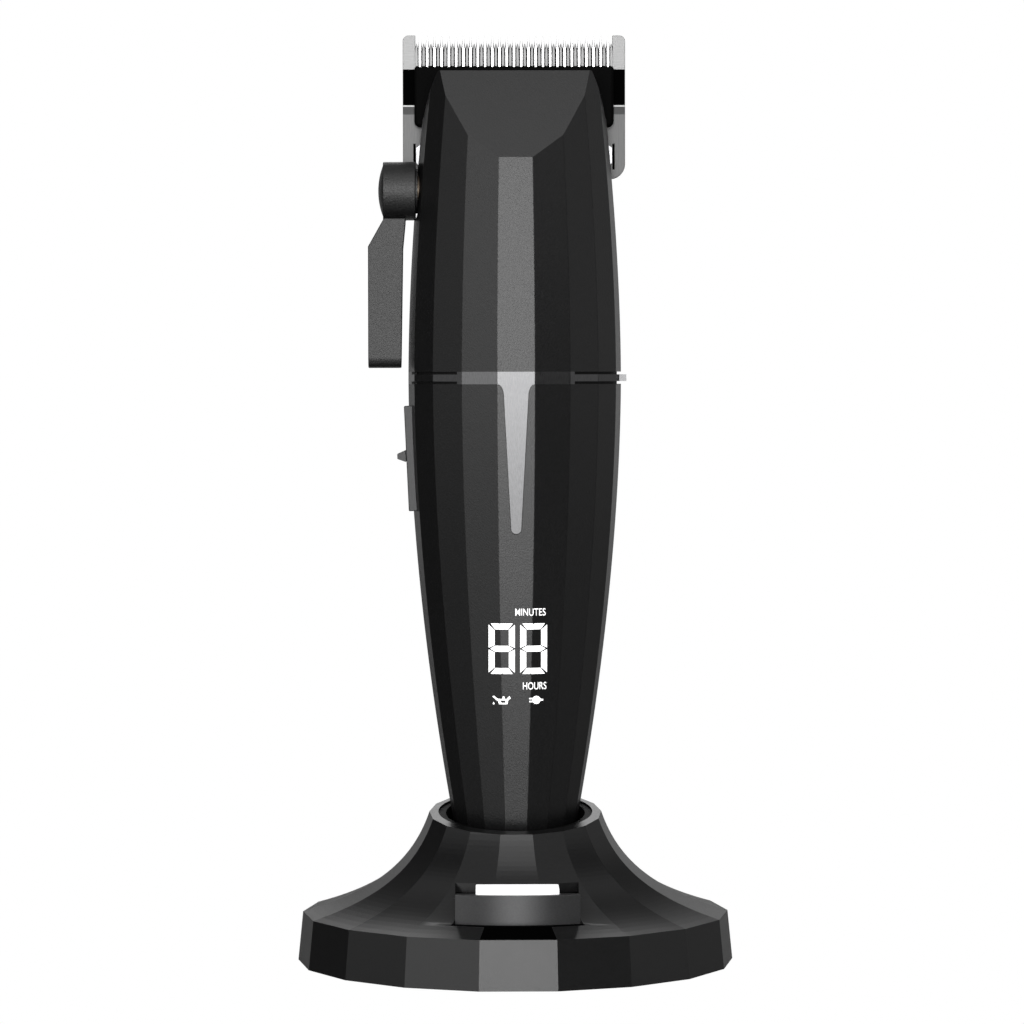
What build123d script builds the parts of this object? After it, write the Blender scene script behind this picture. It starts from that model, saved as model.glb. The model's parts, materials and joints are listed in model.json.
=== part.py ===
"""Cordless hair clipper standing in its charging dock.

Millimetres. Z is up, the origin is the middle of the dock's underside, and the
front of the clipper faces -Y. The clipper's own axis is the Z axis.
"""

import math
import os

from build123d import *

# ---------------------------------------------------------------- barrel
FACETS = 18
HALF_FACET = math.radians(180 / FACETS)
WIDEST_RADIUS = 21.9
WIDEST_Z = 120.5
GRIP_TAPER = 0.0027
HEAD_TAPER = 0.00237
TAPER_POWER = 1.8
GRIP_WALL = 1.8
HEAD_WALL = 1.7
FAR = 60.0

# ---------------------------------------------------------------- grip
CLIPPER_BOTTOM = 18.0
END_CAP_TOP = 20.0
END_CAP_SPIGOT = 5.0
RING_LOW = 119.3
RING_HIGH = 121.8
RING_PROUD = 1.0
RING_BAND_HEIGHT = 1.4
RING_GROOVE = 1.1
RING_FRONT_Y = -18.2
RING_SIDE_Y = -4.0
SPIKE_TIP_Z = 89.2
SPIKE_TIP_RADIUS = 1.0
SPIKE_SHOULDER_X = 2.45
SPIKE_SHOULDER_Z = 117.0
SPIKE_DEPTH = 0.8
SPIKE_GAP = 0.15
PAD_X = 5.0
PAD_RADIUS = 1.8
CHARGE_BORE_RADIUS = 1.75
CHARGE_BODY_RADIUS = 3.0

# ---------------------------------------------------------------- head
HEAD_TOP = 183.0
SLOPE_TOP_Y = -8.8
SLOPE_FOOT_Y = -19.4
SLOPE_FOOT_Z = 164.9
LID_BACK_Y = 3.4
REAR_SHELL_TOP = 163.0
RAMP_TOP_Y = 9.5
RAMP_TOP_Z = 161.3
RAMP_FOOT_Y = 21.5
RAMP_FOOT_Z = 138.0

# ---------------------------------------------------------------- blades
BLADE_WIDTH = 46.0
BLADE_TOP = 191.3
BLADE_FOOT = 161.7
BLADE_CORNER = 3.0
FIXED_FRONT_Y = 6.0
FIXED_THICKNESS = 2.4
EAR_WIDTH = 2.6
TOOTH_COUNT = 28
GRIND_LOW = 183.0
GRIND_HIGH = 195.0
CUTTER_GRIND_LOW = 184.0
CUTTER_GRIND_HIGH = 192.0
TOOTH_ROOT_Z = 184.9
CUTTER_WIDTH = 41.2
CUTTER_TOP = 190.7
CUTTER_FOOT = 172.3
CUTTER_FRONT_Y = 3.9
CUTTER_THICKNESS = 2.04
CUTTER_ROOT_Z = 185.4
CARRIAGE_FRONT_Y = 4.05
CARRIAGE_BACK_Y = 5.98
CARRIAGE_TOP = 170.2
CARRIAGE_FOOT = 152.0
JAW_THICKNESS = 1.5
BLADE_SCREW_HEAD = 2.6
BLADE_SCREW_SHANK = 1.25
BLADE_SCREW_X = 9.0
BLADE_SCREW_Z = 166.5

# ---------------------------------------------------------------- lever
LEVER_Y = 0.0
LEVER_Z = 158.9
LEVER_FOOT = 122.6
HUB_RADIUS = 6.0
HUB_OUTER_X = -27.0
HUB_INNER_X = -20.3
SEAT_X = -19.9
LEVER_SHAFT_RADIUS = 2.5
LEVER_SHAFT_END_X = -17.1
CRANK_WEB_RADIUS = 3.6
CRANK_WEB_THICKNESS = 1.1
CRANK_OFFSET = 2.2
CRANK_PIN_RADIUS = 1.1
CRANK_PIN_END_X = -12.8
LEVER_THICKNESS = 4.4
FIT = 0.05

LEVER_SHAFT_OUTER_X = -25.2
LEVER_WASHER_RADIUS = 4.6
LEVER_OUTLINE = (
    (-27.0, 158.0), (-27.0, 153.0), (-30.1, 147.5), (-30.1, LEVER_FOOT),
    (-23.3, LEVER_FOOT), (-22.9, 147.0), (-22.4, 152.3), (-22.4, 158.0),
)
LEVER_SCREW_SEAT_X = -25.8
LEVER_SCREW_HEAD = 2.2
LEVER_SCREW_SLOT = 0.6
LEVER_CAP_RADIUS = 5.3
LEVER_CAP_RISE = 1.0

# ---------------------------------------------------------------- drive
BATTERY_RADIUS = 9.1
BATTERY_LOW = 27.5
BATTERY_HIGH = 92.5
BATTERY_CAP_RADIUS = 3.0
BATTERY_CAP_HEIGHT = 0.8
CRADLE_WALL = 0.95
MOTOR_RADIUS = 11.8
MOTOR_LOW = 97.0
MOTOR_HIGH = 135.0
MOUNT_TOP = 138.5
MOTOR_SCREW_X = 8.0
MOTOR_SCREW_HEAD = 1.8
MOTOR_SCREW_SLOT = 0.6
MOTOR_NOSE_RADIUS = 3.0
MOTOR_NOSE_HEIGHT = 2.0
END_BELL_HEIGHT = 2.2
SHAFT_RADIUS = 1.0
ECCENTRIC_RADIUS = 3.6
ECCENTRIC_LOW = 140.0
ECCENTRIC_HIGH = 144.0
DRIVE_THROW = 1.0
DRIVE_PIN_TOP = 150.0
FORK_SLOT_HALF = 2 * DRIVE_THROW + SHAFT_RADIUS + 0.1

# ---------------------------------------------------------------- switch
SWITCH_LOW = 93.2
SWITCH_HIGH = 114.8
SWITCH_PROUD = 0.95
SWITCH_WIDTH = 7.8
SWITCH_TRAVEL = 4.0
SWITCH_REST_Z = 104.5

# ---------------------------------------------------------------- dock
SKIRT_RADIUS = 44.9
SKIRT_LOW = 0.4
SKIRT_TOP_RADIUS = 43.9
SKIRT_TOP = 10.4
FLARE_PULL_RADIUS = 20.4
FLARE_PULL_Z = 17.1
FLARE_WEIGHT = 1.2
FLARE_END_RADIUS = 16.4
FLARE_END_Z = 36.0
RIM_TILT = 8.6
RIM_Z = 31.1
DOCK_WALL = 2.0
MOUTH_RADIUS = 14.9
CUP_OUTER_RADIUS = 15.9
CUP_FLOOR_Z = 17.0
REST_CIRCLE = 8.6
REST_RADIUS = 0.8
VISOR_OUTER = 35.6
VISOR_INNER = 34.1
VISOR_HALF_ANGLE = 20.6
VISOR_TOP = 18.1
VISOR_LOW = 9.0
POCKET_RADIUS = 38.6
POCKET_FLOOR = 12.2
LEDGE_HALF = 12.4
LEDGE_BACK = 25.5
LEDGE_TOP = 17.3
LEDGE_THICKNESS = 0.9
LIGHT_HALF_WIDTH = 8.3
LIGHT_TOP = 18.6
INLET_RADIUS = 3.2
INLET_NOSE_RADIUS = 4.4
JACK_RADIUS = 3.0
JACK_PIN_RADIUS = 1.0
INLET_Z = 5.6
SCREW_CIRCLE = 33.0
PIN_RADIUS = 1.0
FOOT_HEIGHT = 1.2
FOOT_OUTER = 41.0
FOOT_INNER = 36.6
BALLAST_RADIUS = 25.0
BALLAST_HEIGHT = 2.6


# ---------------------------------------------------------------- helpers
def block(x0, x1, y0, y1, z0, z1):
    """Box between two corners."""
    centre = ((x0 + x1) / 2, (y0 + y1) / 2, (z0 + z1) / 2)
    return Pos(*centre) * Box(x1 - x0, y1 - y0, z1 - z0)


def rod(radius, low, high, x=0.0, y=0.0):
    """Upright cylinder."""
    return Pos(x, y, (low + high) / 2) * Cylinder(radius, high - low)


def rod_x(radius, x0, x1, y, z):
    """Cylinder along X."""
    return Pos((x0 + x1) / 2, y, z) * Rot(0, 90, 0) * Cylinder(radius, x1 - x0)


def rod_y(radius, y0, y1, x, z):
    """Cylinder along Y."""
    return Pos(x, (y0 + y1) / 2, z) * Rot(90, 0, 0) * Cylinder(radius, y1 - y0)


def side_plate(points, x0, x1):
    """Outline of (y, z) points with thickness along X."""
    corners = [Vector(x0, y, z) for y, z in points]
    face = Face(Wire.make_polygon(corners, close=True))
    return Solid.extrude(face, Vector(x1 - x0, 0, 0))


def front_plate(points, y0, y1):
    """Outline of (x, z) points with thickness along Y."""
    corners = [Vector(x, y0, z) for x, z in points]
    face = Face(Wire.make_polygon(corners, close=True))
    return Solid.extrude(face, Vector(0, y1 - y0, 0))


def faceted(radius_at, low, high, steps):
    """Eighteen-sided solid whose facets bend along Z."""
    heights = [low + (high - low) * i / steps for i in range(steps + 1)]
    return loft([Pos(0, 0, z) * RegularPolygon(radius_at(z), FACETS) for z in heights])


def faceted_prism(radius, low, high):
    """Eighteen-sided straight prism."""
    return Pos(0, 0, low) * extrude(RegularPolygon(radius, FACETS), high - low)


def barrel_radius(z):
    """Corner radius of the clipper's barrel at height z."""
    taper = GRIP_TAPER if z < WIDEST_Z else HEAD_TAPER
    return WIDEST_RADIUS - taper * abs(z - WIDEST_Z) ** TAPER_POWER


def flare_point(t, inset=0.0):
    """Corner radius and height of the dock's flare, a conic from its skirt to its mouth."""
    ends = (SKIRT_TOP_RADIUS, SKIRT_TOP), (FLARE_END_RADIUS, FLARE_END_Z)
    pull = (FLARE_PULL_RADIUS, FLARE_PULL_Z)
    shares = (1 - t) ** 2, 2 * FLARE_WEIGHT * t * (1 - t), t**2
    total = sum(shares)
    radius, z = (
        (shares[0] * ends[0][i] + shares[1] * pull[i] + shares[2] * ends[1][i]) / total for i in (0, 1)
    )
    if not inset:
        return radius, z
    step = 1e-4
    near, far = flare_point(max(t - step, 0)), flare_point(min(t + step, 1))
    length = math.dist(near, far)
    across = (far[1] - near[1]) / length
    along = (near[0] - far[0]) / length
    return radius - inset * across, z - inset * along


def front_half():
    return block(-FAR, FAR, -FAR, 0, -FAR, 4 * FAR)


def rear_half():
    return block(-FAR, FAR, 0, FAR, -FAR, 4 * FAR)


# ---------------------------------------------------------------- switch frame
SWITCH_HEIGHT = SWITCH_HIGH - SWITCH_LOW
SWITCH_LEAN = barrel_radius(SWITCH_HIGH) - barrel_radius(SWITCH_LOW)
SWITCH_SLOPE = math.degrees(math.atan(SWITCH_LEAN / SWITCH_HEIGHT))
SWITCH_FACE_X = -(barrel_radius(SWITCH_LOW) + barrel_radius(SWITCH_HIGH)) / 2 - SWITCH_PROUD
SWITCH_MIDDLE = (SWITCH_LOW + SWITCH_HIGH) / 2
SWITCH_PLACE = Pos(SWITCH_FACE_X, 0, SWITCH_MIDDLE) * Rot(0, -SWITCH_SLOPE, 0)
SWITCH_DEPTH = 3.6
SLOT_LOW = SWITCH_REST_Z - SWITCH_MIDDLE - 1.3
SLOT_HIGH = SLOT_LOW + SWITCH_TRAVEL + 2.6
SLOT_HALF_WIDTH = 1.2


def switch_block(x0, x1, half_width, z0, z1):
    """Box in the sloping frame of the switch: x is the depth below its face."""
    return SWITCH_PLACE * block(x0, x1, -half_width, half_width, z0, z1)


def switch_window():
    half_height = SWITCH_HEIGHT / 2
    return switch_block(-3.0, SWITCH_DEPTH + 2.0, SWITCH_WIDTH / 2, -half_height, half_height)


# ---------------------------------------------------------------- housing screws
APOTHEM = math.cos(HALF_FACET)
GRIP_SCREW_HEIGHTS = (46.0, 61.0)
HEAD_SCREW_X = 7.4
HEAD_SCREW_Z = (MOTOR_HIGH + MOUNT_TOP) / 2
HEAD_SCREW_SEAT_Y = 18.35
SCREW_SHANK = 1.0
SCREW_HEAD = 1.7
SCREW_HEAD_HEIGHT = 1.1
SCREW_LENGTH = 4.6
POST_RADIUS = 2.2


def grip_screw_seat(z):
    """Depth of a grip screw's head below the rear facet at height z."""
    return barrel_radius(z) * APOTHEM - SCREW_HEAD_HEIGHT - 0.2


def screw_y(x, seat_y, z):
    """Pan-head screw along Y, its head on the far side of its seat."""
    head = rod_y(SCREW_HEAD, seat_y, seat_y + SCREW_HEAD_HEIGHT, x, z)
    drive = rod_y(0.7, seat_y + 0.5, seat_y + 2.0, x, z)
    shank = rod_y(SCREW_SHANK, seat_y - SCREW_LENGTH, seat_y, x, z)
    return (head + shank - drive).solid()


def screw_hole_y(x, seat_y, z):
    """Counterbored hole for one screw along Y."""
    sink = rod_y(SCREW_HEAD, seat_y, seat_y + 8.0, x, z)
    return sink + rod_y(SCREW_SHANK, seat_y - SCREW_LENGTH, seat_y, x, z)


def grip_screws():
    return Compound(children=[screw_y(0.0, grip_screw_seat(z), z) for z in GRIP_SCREW_HEIGHTS])


def head_screws():
    places = [side * HEAD_SCREW_X for side in (-1, 1)]
    return Compound(children=[screw_y(x, HEAD_SCREW_SEAT_Y, HEAD_SCREW_Z) for x in places])


def head_screw_holes():
    left, right = (screw_hole_y(side * HEAD_SCREW_X, HEAD_SCREW_SEAT_Y, HEAD_SCREW_Z) for side in (-1, 1))
    return left + right


# ---------------------------------------------------------------- grip
def spike_outline(gap):
    """Pointed tongue of the trim ring on the front facet, as an (x, z) plate."""
    top_x = WIDEST_RADIUS * math.sin(HALF_FACET) + gap
    tip = SPIKE_TIP_RADIUS + gap
    tip_z = SPIKE_TIP_Z + SPIKE_TIP_RADIUS
    shoulder = SPIKE_SHOULDER_X + gap
    arc_r = top_x - shoulder
    right = [
        (tip, tip_z),
        (shoulder, SPIKE_SHOULDER_Z),
    ]
    steps = 5
    for i in range(1, steps + 1):
        turn = math.radians(90 * i / steps)
        x = shoulder + arc_r * (1 - math.cos(turn))
        z = SPIKE_SHOULDER_Z + (RING_LOW - SPIKE_SHOULDER_Z) * math.sin(turn)
        right.append((x, z))
    right.append((top_x, RING_LOW + 0.2))
    left = [(-x, z) for x, z in reversed(right)]
    plate = front_plate(right + left, -FAR, 0)
    return plate + rod_y(tip, -FAR, 0, 0, tip_z)


def grip_shells():
    outer = faceted(barrel_radius, END_CAP_TOP, RING_LOW, 6)
    inside = faceted(lambda z: barrel_radius(z) - GRIP_WALL, END_CAP_TOP - 1, RING_LOW + 1, 6)
    floor_cut = faceted(lambda z: barrel_radius(z) - SPIKE_DEPTH, 80.0, RING_LOW + 1, 3)
    shell = outer - inside - switch_window()
    front = shell & front_half()
    front = front - (spike_outline(SPIKE_GAP) - floor_cut)
    rear = shell & rear_half()
    for z in GRIP_SCREW_HEIGHTS:
        rear = rear - screw_hole_y(0.0, grip_screw_seat(z), z)
    return front, rear


def trim_ring():
    """Ring between grip and head: full height in front, a narrower band round the sides."""
    ring = faceted(barrel_radius, RING_LOW, RING_HIGH, 2)
    ring = ring - faceted_prism(WIDEST_RADIUS - GRIP_WALL, RING_LOW - 1, RING_HIGH + 1)
    middle = (RING_LOW + RING_HIGH) / 2
    low, high = middle - RING_BAND_HEIGHT / 2, middle + RING_BAND_HEIGHT / 2
    sides = block(-FAR, FAR, RING_FRONT_Y, RING_SIDE_Y, 0, 4 * FAR)
    sides = sides + block(0, FAR, RING_SIDE_Y, -RING_SIDE_Y, 0, 4 * FAR)
    for groove_low, groove_high in ((RING_LOW - 1, low), (high, RING_HIGH + 1)):
        groove = faceted_prism(WIDEST_RADIUS + 1, groove_low, groove_high)
        groove = groove - faceted_prism(WIDEST_RADIUS - RING_GROOVE, groove_low, groove_high)
        ring = ring - (groove & sides)
    lug = block(WIDEST_RADIUS - 1.0, WIDEST_RADIUS + RING_PROUD, -2.5, 2.5, low, high)
    skin = faceted(barrel_radius, 80.0, RING_LOW + 0.2, 4)
    skin = skin - faceted(lambda z: barrel_radius(z) - SPIKE_DEPTH + FIT, 79.0, RING_LOW + 1, 4)
    spike = spike_outline(0.0) & skin
    return ring + lug + spike


def end_cap():
    flange = faceted(barrel_radius, CLIPPER_BOTTOM, END_CAP_TOP, 1)
    top = END_CAP_TOP + END_CAP_SPIGOT
    outside = faceted(lambda z: barrel_radius(z) - GRIP_WALL - FIT, END_CAP_TOP, top, 2)
    cap = flange + outside - faceted_prism(7.4, END_CAP_TOP + 1.0, top + 1)
    cap = cap - rod(CHARGE_BODY_RADIUS, CLIPPER_BOTTOM - 1, top)
    for side in (-1, 1):
        cap = cap - rod(PAD_RADIUS, CLIPPER_BOTTOM - 1, top, side * PAD_X)
    return cap


def contact_pads():
    pads = []
    for side in (-1, 1):
        stem = rod(0.9, END_CAP_TOP + 1.0, END_CAP_TOP + 2.2, side * PAD_X)
        disc = rod(PAD_RADIUS, CLIPPER_BOTTOM, END_CAP_TOP + 1.0, side * PAD_X)
        pads.append((disc + stem).solid())
    return Compound(children=pads)


def charge_socket():
    body = rod(CHARGE_BODY_RADIUS, CLIPPER_BOTTOM, 26.5)
    return body - rod(CHARGE_BORE_RADIUS, CLIPPER_BOTTOM - 1, 25.0)


# ---------------------------------------------------------------- grip's inside
def battery_cell():
    shoulder = BATTERY_HIGH - BATTERY_CAP_HEIGHT
    can = rod(BATTERY_RADIUS, BATTERY_LOW, shoulder)
    return can + rod(BATTERY_CAP_RADIUS, shoulder, BATTERY_HIGH)


def battery_cradle():
    outside = rod(BATTERY_RADIUS + CRADLE_WALL, BATTERY_LOW - 0.9, BATTERY_HIGH + 0.9)
    for z in GRIP_SCREW_HEIGHTS:
        wall_y = (barrel_radius(z - POST_RADIUS) - GRIP_WALL) * APOTHEM
        outside = outside + rod_y(POST_RADIUS, 0, wall_y - 0.1, 0, z)
    cradle = outside - rod(BATTERY_RADIUS + FIT, BATTERY_LOW, BATTERY_HIGH)
    for z in GRIP_SCREW_HEIGHTS:
        cradle = cradle - screw_hole_y(0.0, grip_screw_seat(z), z)
    return cradle & block(-FAR, FAR, 3.0, FAR, 0, 2 * FAR)


def display_board():
    board = block(-6.5, 6.5, -12.6, -11.5, 53.0, 76.0)
    driver = block(-2.5, 2.5, -11.5, -10.6, 72.0, 75.5)
    return board + driver


def display_digits():
    return block(-6.3, 6.3, -13.8, -12.6, 58.0, 70.6)


def main_board():
    board = block(-8.0, 8.0, 12.3, 13.5, 66.0, 112.0)
    chips = [
        block(-5.0, 1.0, 13.5, 14.6, 84.0, 91.0),
        block(2.5, 6.5, 13.5, 15.0, 74.0, 78.0),
        rod_y(2.2, 13.5, 16.0, -4.5, 104.0),
        rod_y(2.2, 13.5, 16.0, 2.5, 104.0),
    ]
    for chip in chips:
        board = board + chip
    return board


def slide_switch():
    body = block(-15.8, -12.8, -2.2, 2.2, 100.0, 111.0)
    return body - rod(MOTOR_RADIUS + 0.4, 90, 120)


def switch_plate():
    half_height = SWITCH_HEIGHT / 2
    plate = switch_block(0, SWITCH_DEPTH, SWITCH_WIDTH / 2, -half_height, half_height)
    return plate - switch_block(-1, SWITCH_DEPTH + 1, SLOT_HALF_WIDTH, SLOT_LOW, SLOT_HIGH)


def switch_slider():
    """Thumb rib outside, stem through the slot, shoe inside."""
    rest = SWITCH_REST_Z - SWITCH_MIDDLE
    face = -0.1
    tip = -1.85
    profile = [(face, rest - 1.2), (tip, rest - 0.5), (tip, rest + 0.5), (face, rest + 1.2)]
    rib = SWITCH_PLACE * front_plate(profile, -2.9, 2.9)
    stem = switch_block(face - 0.2, SWITCH_DEPTH + 0.3, SLOT_HALF_WIDTH - 0.1, rest - 1.1, rest + 1.1)
    shoe = switch_block(SWITCH_DEPTH + 0.2, SWITCH_DEPTH + 1.2, 2.2, rest - 2.5, rest + 2.5)
    return rib + stem + shoe


# ---------------------------------------------------------------- motor
def motor_can():
    can = rod(MOTOR_RADIUS, MOTOR_LOW, MOTOR_HIGH)
    can = can + rod(MOTOR_NOSE_RADIUS, MOTOR_HIGH, MOTOR_HIGH + MOTOR_NOSE_HEIGHT)
    can = can - rod(SHAFT_RADIUS + FIT, MOTOR_LOW - 1, MOUNT_TOP)
    for side in (-1, 1):
        can = can - rod(SCREW_SHANK, MOTOR_HIGH - 4, MOUNT_TOP, side * MOTOR_SCREW_X)
    return can


def motor_end_bell():
    bell = rod(MOTOR_RADIUS, MOTOR_LOW - END_BELL_HEIGHT, MOTOR_LOW)
    return bell - rod(SHAFT_RADIUS + FIT, MOTOR_LOW - 0.8, MOTOR_LOW + 1)


def motor_mount():
    plate = faceted_prism(barrel_radius(MOUNT_TOP) - HEAD_WALL - 0.3, MOTOR_HIGH, MOUNT_TOP)
    plate = plate & block(-FAR, FAR, -FAR, 18.0, 0, 4 * FAR)
    plate = plate - rod(MOTOR_NOSE_RADIUS, MOTOR_HIGH - 1, MOTOR_HIGH + MOTOR_NOSE_HEIGHT)
    plate = plate - rod(2.0, MOTOR_HIGH, MOUNT_TOP + 1)
    for side in (-1, 1):
        plate = plate - rod(SCREW_SHANK, MOTOR_HIGH - 1, MOUNT_TOP + 1, side * MOTOR_SCREW_X)
    return plate - head_screw_holes()


def motor_screws():
    screws = []
    for side in (-1, 1):
        x = side * MOTOR_SCREW_X
        shank = rod(SCREW_SHANK, MOTOR_HIGH - 3, MOUNT_TOP, x)
        head = rod(MOTOR_SCREW_HEAD, MOUNT_TOP, MOUNT_TOP + 1.2, x)
        half = MOTOR_SCREW_SLOT / 2
        slot = block(x - 2, x + 2, -half, half, MOUNT_TOP + 0.7, MOUNT_TOP + 2)
        screws.append((shank + head - slot).solid())
    return Compound(children=screws)


def drive_shaft():
    return rod(SHAFT_RADIUS, MOTOR_LOW - 0.5, ECCENTRIC_HIGH)


def eccentric():
    hub = rod(ECCENTRIC_RADIUS, ECCENTRIC_LOW, ECCENTRIC_HIGH)
    flat = block(-FAR, FAR, 2.6, FAR, ECCENTRIC_LOW - 1, ECCENTRIC_HIGH + 1)
    hub = hub - rod(SHAFT_RADIUS, ECCENTRIC_LOW - 1, ECCENTRIC_HIGH + 1) - flat
    disc = rod(ECCENTRIC_RADIUS, ECCENTRIC_HIGH, ECCENTRIC_HIGH + 0.6)
    pin = rod(SHAFT_RADIUS, ECCENTRIC_HIGH, DRIVE_PIN_TOP, 0, -DRIVE_THROW)
    return hub + disc + pin


# ---------------------------------------------------------------- head
def slope_cutter(inset):
    """Everything in front of the head's sloping face, moved in by the inset."""
    run = SLOPE_TOP_Y - SLOPE_FOOT_Y
    rise = HEAD_TOP - SLOPE_FOOT_Z
    length = math.hypot(run, rise)
    shift_y = inset * rise / length
    shift_z = -inset * run / length
    foot = (SLOPE_FOOT_Y - run + shift_y, SLOPE_FOOT_Z - rise + shift_z)
    top = (SLOPE_TOP_Y + run + shift_y, HEAD_TOP + rise + shift_z)
    return side_plate([foot, top, (-FAR, top[1]), (-FAR, foot[1])], -FAR, FAR)


def ramp_cutter(inset):
    """Everything behind the head's rear ramp, moved in by the inset."""
    run = RAMP_FOOT_Y - RAMP_TOP_Y
    rise = RAMP_TOP_Z - RAMP_FOOT_Z
    shift = inset * math.hypot(run, rise) / rise
    foot = (RAMP_FOOT_Y + run - shift, RAMP_FOOT_Z - rise)
    top = (RAMP_TOP_Y - run - shift, RAMP_TOP_Z + rise)
    return side_plate([foot, top, (FAR, top[1]), (FAR, foot[1])], -FAR, FAR)


def head_bore_radius(z):
    return barrel_radius(z) - HEAD_WALL


def head_solids():
    outer = faceted(barrel_radius, RING_HIGH, HEAD_TOP, 4) - slope_cutter(0.0)
    inside = faceted(head_bore_radius, RING_HIGH - 1, HEAD_TOP - HEAD_WALL, 4)
    inside = inside - slope_cutter(HEAD_WALL)
    return outer, inside


def lever_seat():
    """Flat spot and shaft hole for the lever on the -X side."""
    seat = rod_x(HUB_RADIUS + 0.3, -FAR, SEAT_X, LEVER_Y, LEVER_Z)
    hole = rod_x(LEVER_SHAFT_RADIUS + 1.1, -FAR, LEVER_SHAFT_END_X, LEVER_Y, LEVER_Z)
    return seat + hole


def head_shells():
    outer, inside = head_solids()
    shell = outer - inside - lever_seat()
    lid_zone = front_half() + block(-FAR, FAR, -0.01, LID_BACK_Y, REAR_SHELL_TOP, 4 * FAR)
    front = shell & lid_zone
    rear = outer - ramp_cutter(0.0)
    rear_inside = inside - ramp_cutter(HEAD_WALL)
    rear = rear - rear_inside - lever_seat()
    rear = rear & block(-FAR, FAR, 0, FAR, 0, REAR_SHELL_TOP)
    blade_bay = block(-FAR, FAR, FIXED_FRONT_Y - 0.2, FAR, RAMP_TOP_Z, FAR * 4)
    return front, rear - blade_bay - head_screw_holes()


def blade_base():
    """Metal frame behind the motor mount that the blade carriage slides on."""
    bar = block(-13.0, 13.0, 4.4, 6.6, MOUNT_TOP, 148.0)
    frame = bar
    for side in (-1, 1):
        x0, x1 = sorted((side * 6.2, side * 12.2))
        frame = frame + block(x0, x1, 1.8, 4.4, MOUNT_TOP, 148.0)
        frame = frame + block(x0, x1, 1.8, CARRIAGE_FRONT_Y - FIT, 148.0, 168.0)
    return frame


def cutter_spring():
    """Bent leaf that presses the moving blade on the fixed blade."""
    spring = block(-12.0, 12.0, 1.25, 1.8, 156.0, 160.0)
    for side in (-1, 1):
        x0, x1 = sorted((side * 8.0, side * 12.0))
        spring = spring + block(x0, x1, 1.25, 1.8, 160.0, 174.0)
        spring = spring + block(x0, x1, 1.25, CUTTER_FRONT_Y - FIT, 174.0, 174.6)
    stem_gap = block(-5.4, 5.4, -FAR, FAR, 150.0, 161.0)
    strap = block(-8.5, 8.5, 0.5, 1.25, 156.0, 159.0)
    return spring - stem_gap + strap


# ---------------------------------------------------------------- blades
def comb(width, root_z, tip_z, count):
    """Outline points of pointed teeth from left to right."""
    pitch = width / count
    points = []
    for i in range(count):
        x = -width / 2 + pitch * i
        points.append((x + 0.12 * pitch, root_z))
        points.append((x + 0.22 * pitch, root_z + 0.7 * (tip_z - root_z)))
        points.append((x + 0.46 * pitch, tip_z))
        points.append((x + 0.54 * pitch, tip_z))
        points.append((x + 0.78 * pitch, root_z + 0.7 * (tip_z - root_z)))
        points.append((x + 0.88 * pitch, root_z))
    return points


def fixed_blade():
    half = BLADE_WIDTH / 2
    ear = half - EAR_WIDTH
    c = BLADE_CORNER
    bevel = 1.0
    outline = [
        (-half + c, BLADE_FOOT),
        (-half + 0.3 * c, BLADE_FOOT + 0.3 * c),
        (-half, BLADE_FOOT + c),
        (-half, BLADE_TOP - bevel),
        (-half + bevel, BLADE_TOP),
        (-ear, BLADE_TOP),
    ]
    teeth = comb(2 * ear, TOOTH_ROOT_Z, BLADE_TOP, TOOTH_COUNT)
    mirrored = [(-x, z) for x, z in reversed(outline)]
    back = FIXED_FRONT_Y + FIXED_THICKNESS
    blade = front_plate(outline + teeth + mirrored, FIXED_FRONT_Y, back)
    grind = [(back + 0.1, GRIND_LOW), (back + 0.1, GRIND_HIGH), (FIXED_FRONT_Y + 0.6, GRIND_HIGH)]
    blade = blade - side_plate(grind, -FAR, FAR)
    for side in (-1, 1):
        blade = blade - rod_y(BLADE_SCREW_SHANK + 0.25, 0, FAR, side * BLADE_SCREW_X, BLADE_SCREW_Z)
    return blade


def moving_blade():
    half = CUTTER_WIDTH / 2
    foot = [(-13.0, CUTTER_FOOT), (-half, CUTTER_FOOT)]
    teeth = comb(CUTTER_WIDTH, CUTTER_ROOT_Z, CUTTER_TOP, TOOTH_COUNT)
    outline = foot + teeth + [(-x, z) for x, z in reversed(foot)]
    back = CUTTER_FRONT_Y + CUTTER_THICKNESS
    blade = front_plate(outline, CUTTER_FRONT_Y, back)
    front = CUTTER_FRONT_Y - 0.1
    grind = [(front, CUTTER_GRIND_LOW), (front, CUTTER_GRIND_HIGH), (back - 0.6, CUTTER_GRIND_HIGH)]
    return blade - side_plate(grind, -FAR, FAR)


def drive_fork():
    """Slotted block over the eccentric's pin, with a stem up to the moving blade."""
    low = ECCENTRIC_HIGH + 1.0
    top = DRIVE_PIN_TOP + 0.4
    outer_x = FORK_SLOT_HALF + 1.8
    fork = block(-outer_x, outer_x, -2.3, 3.7, low, top + 2.6)
    fork = fork - block(-FORK_SLOT_HALF, FORK_SLOT_HALF, -FAR, FAR, low - 1, top)
    stem = block(-3.9, 3.9, 1.9, CUTTER_FRONT_Y, top, 179.0)
    return fork + stem


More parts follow.
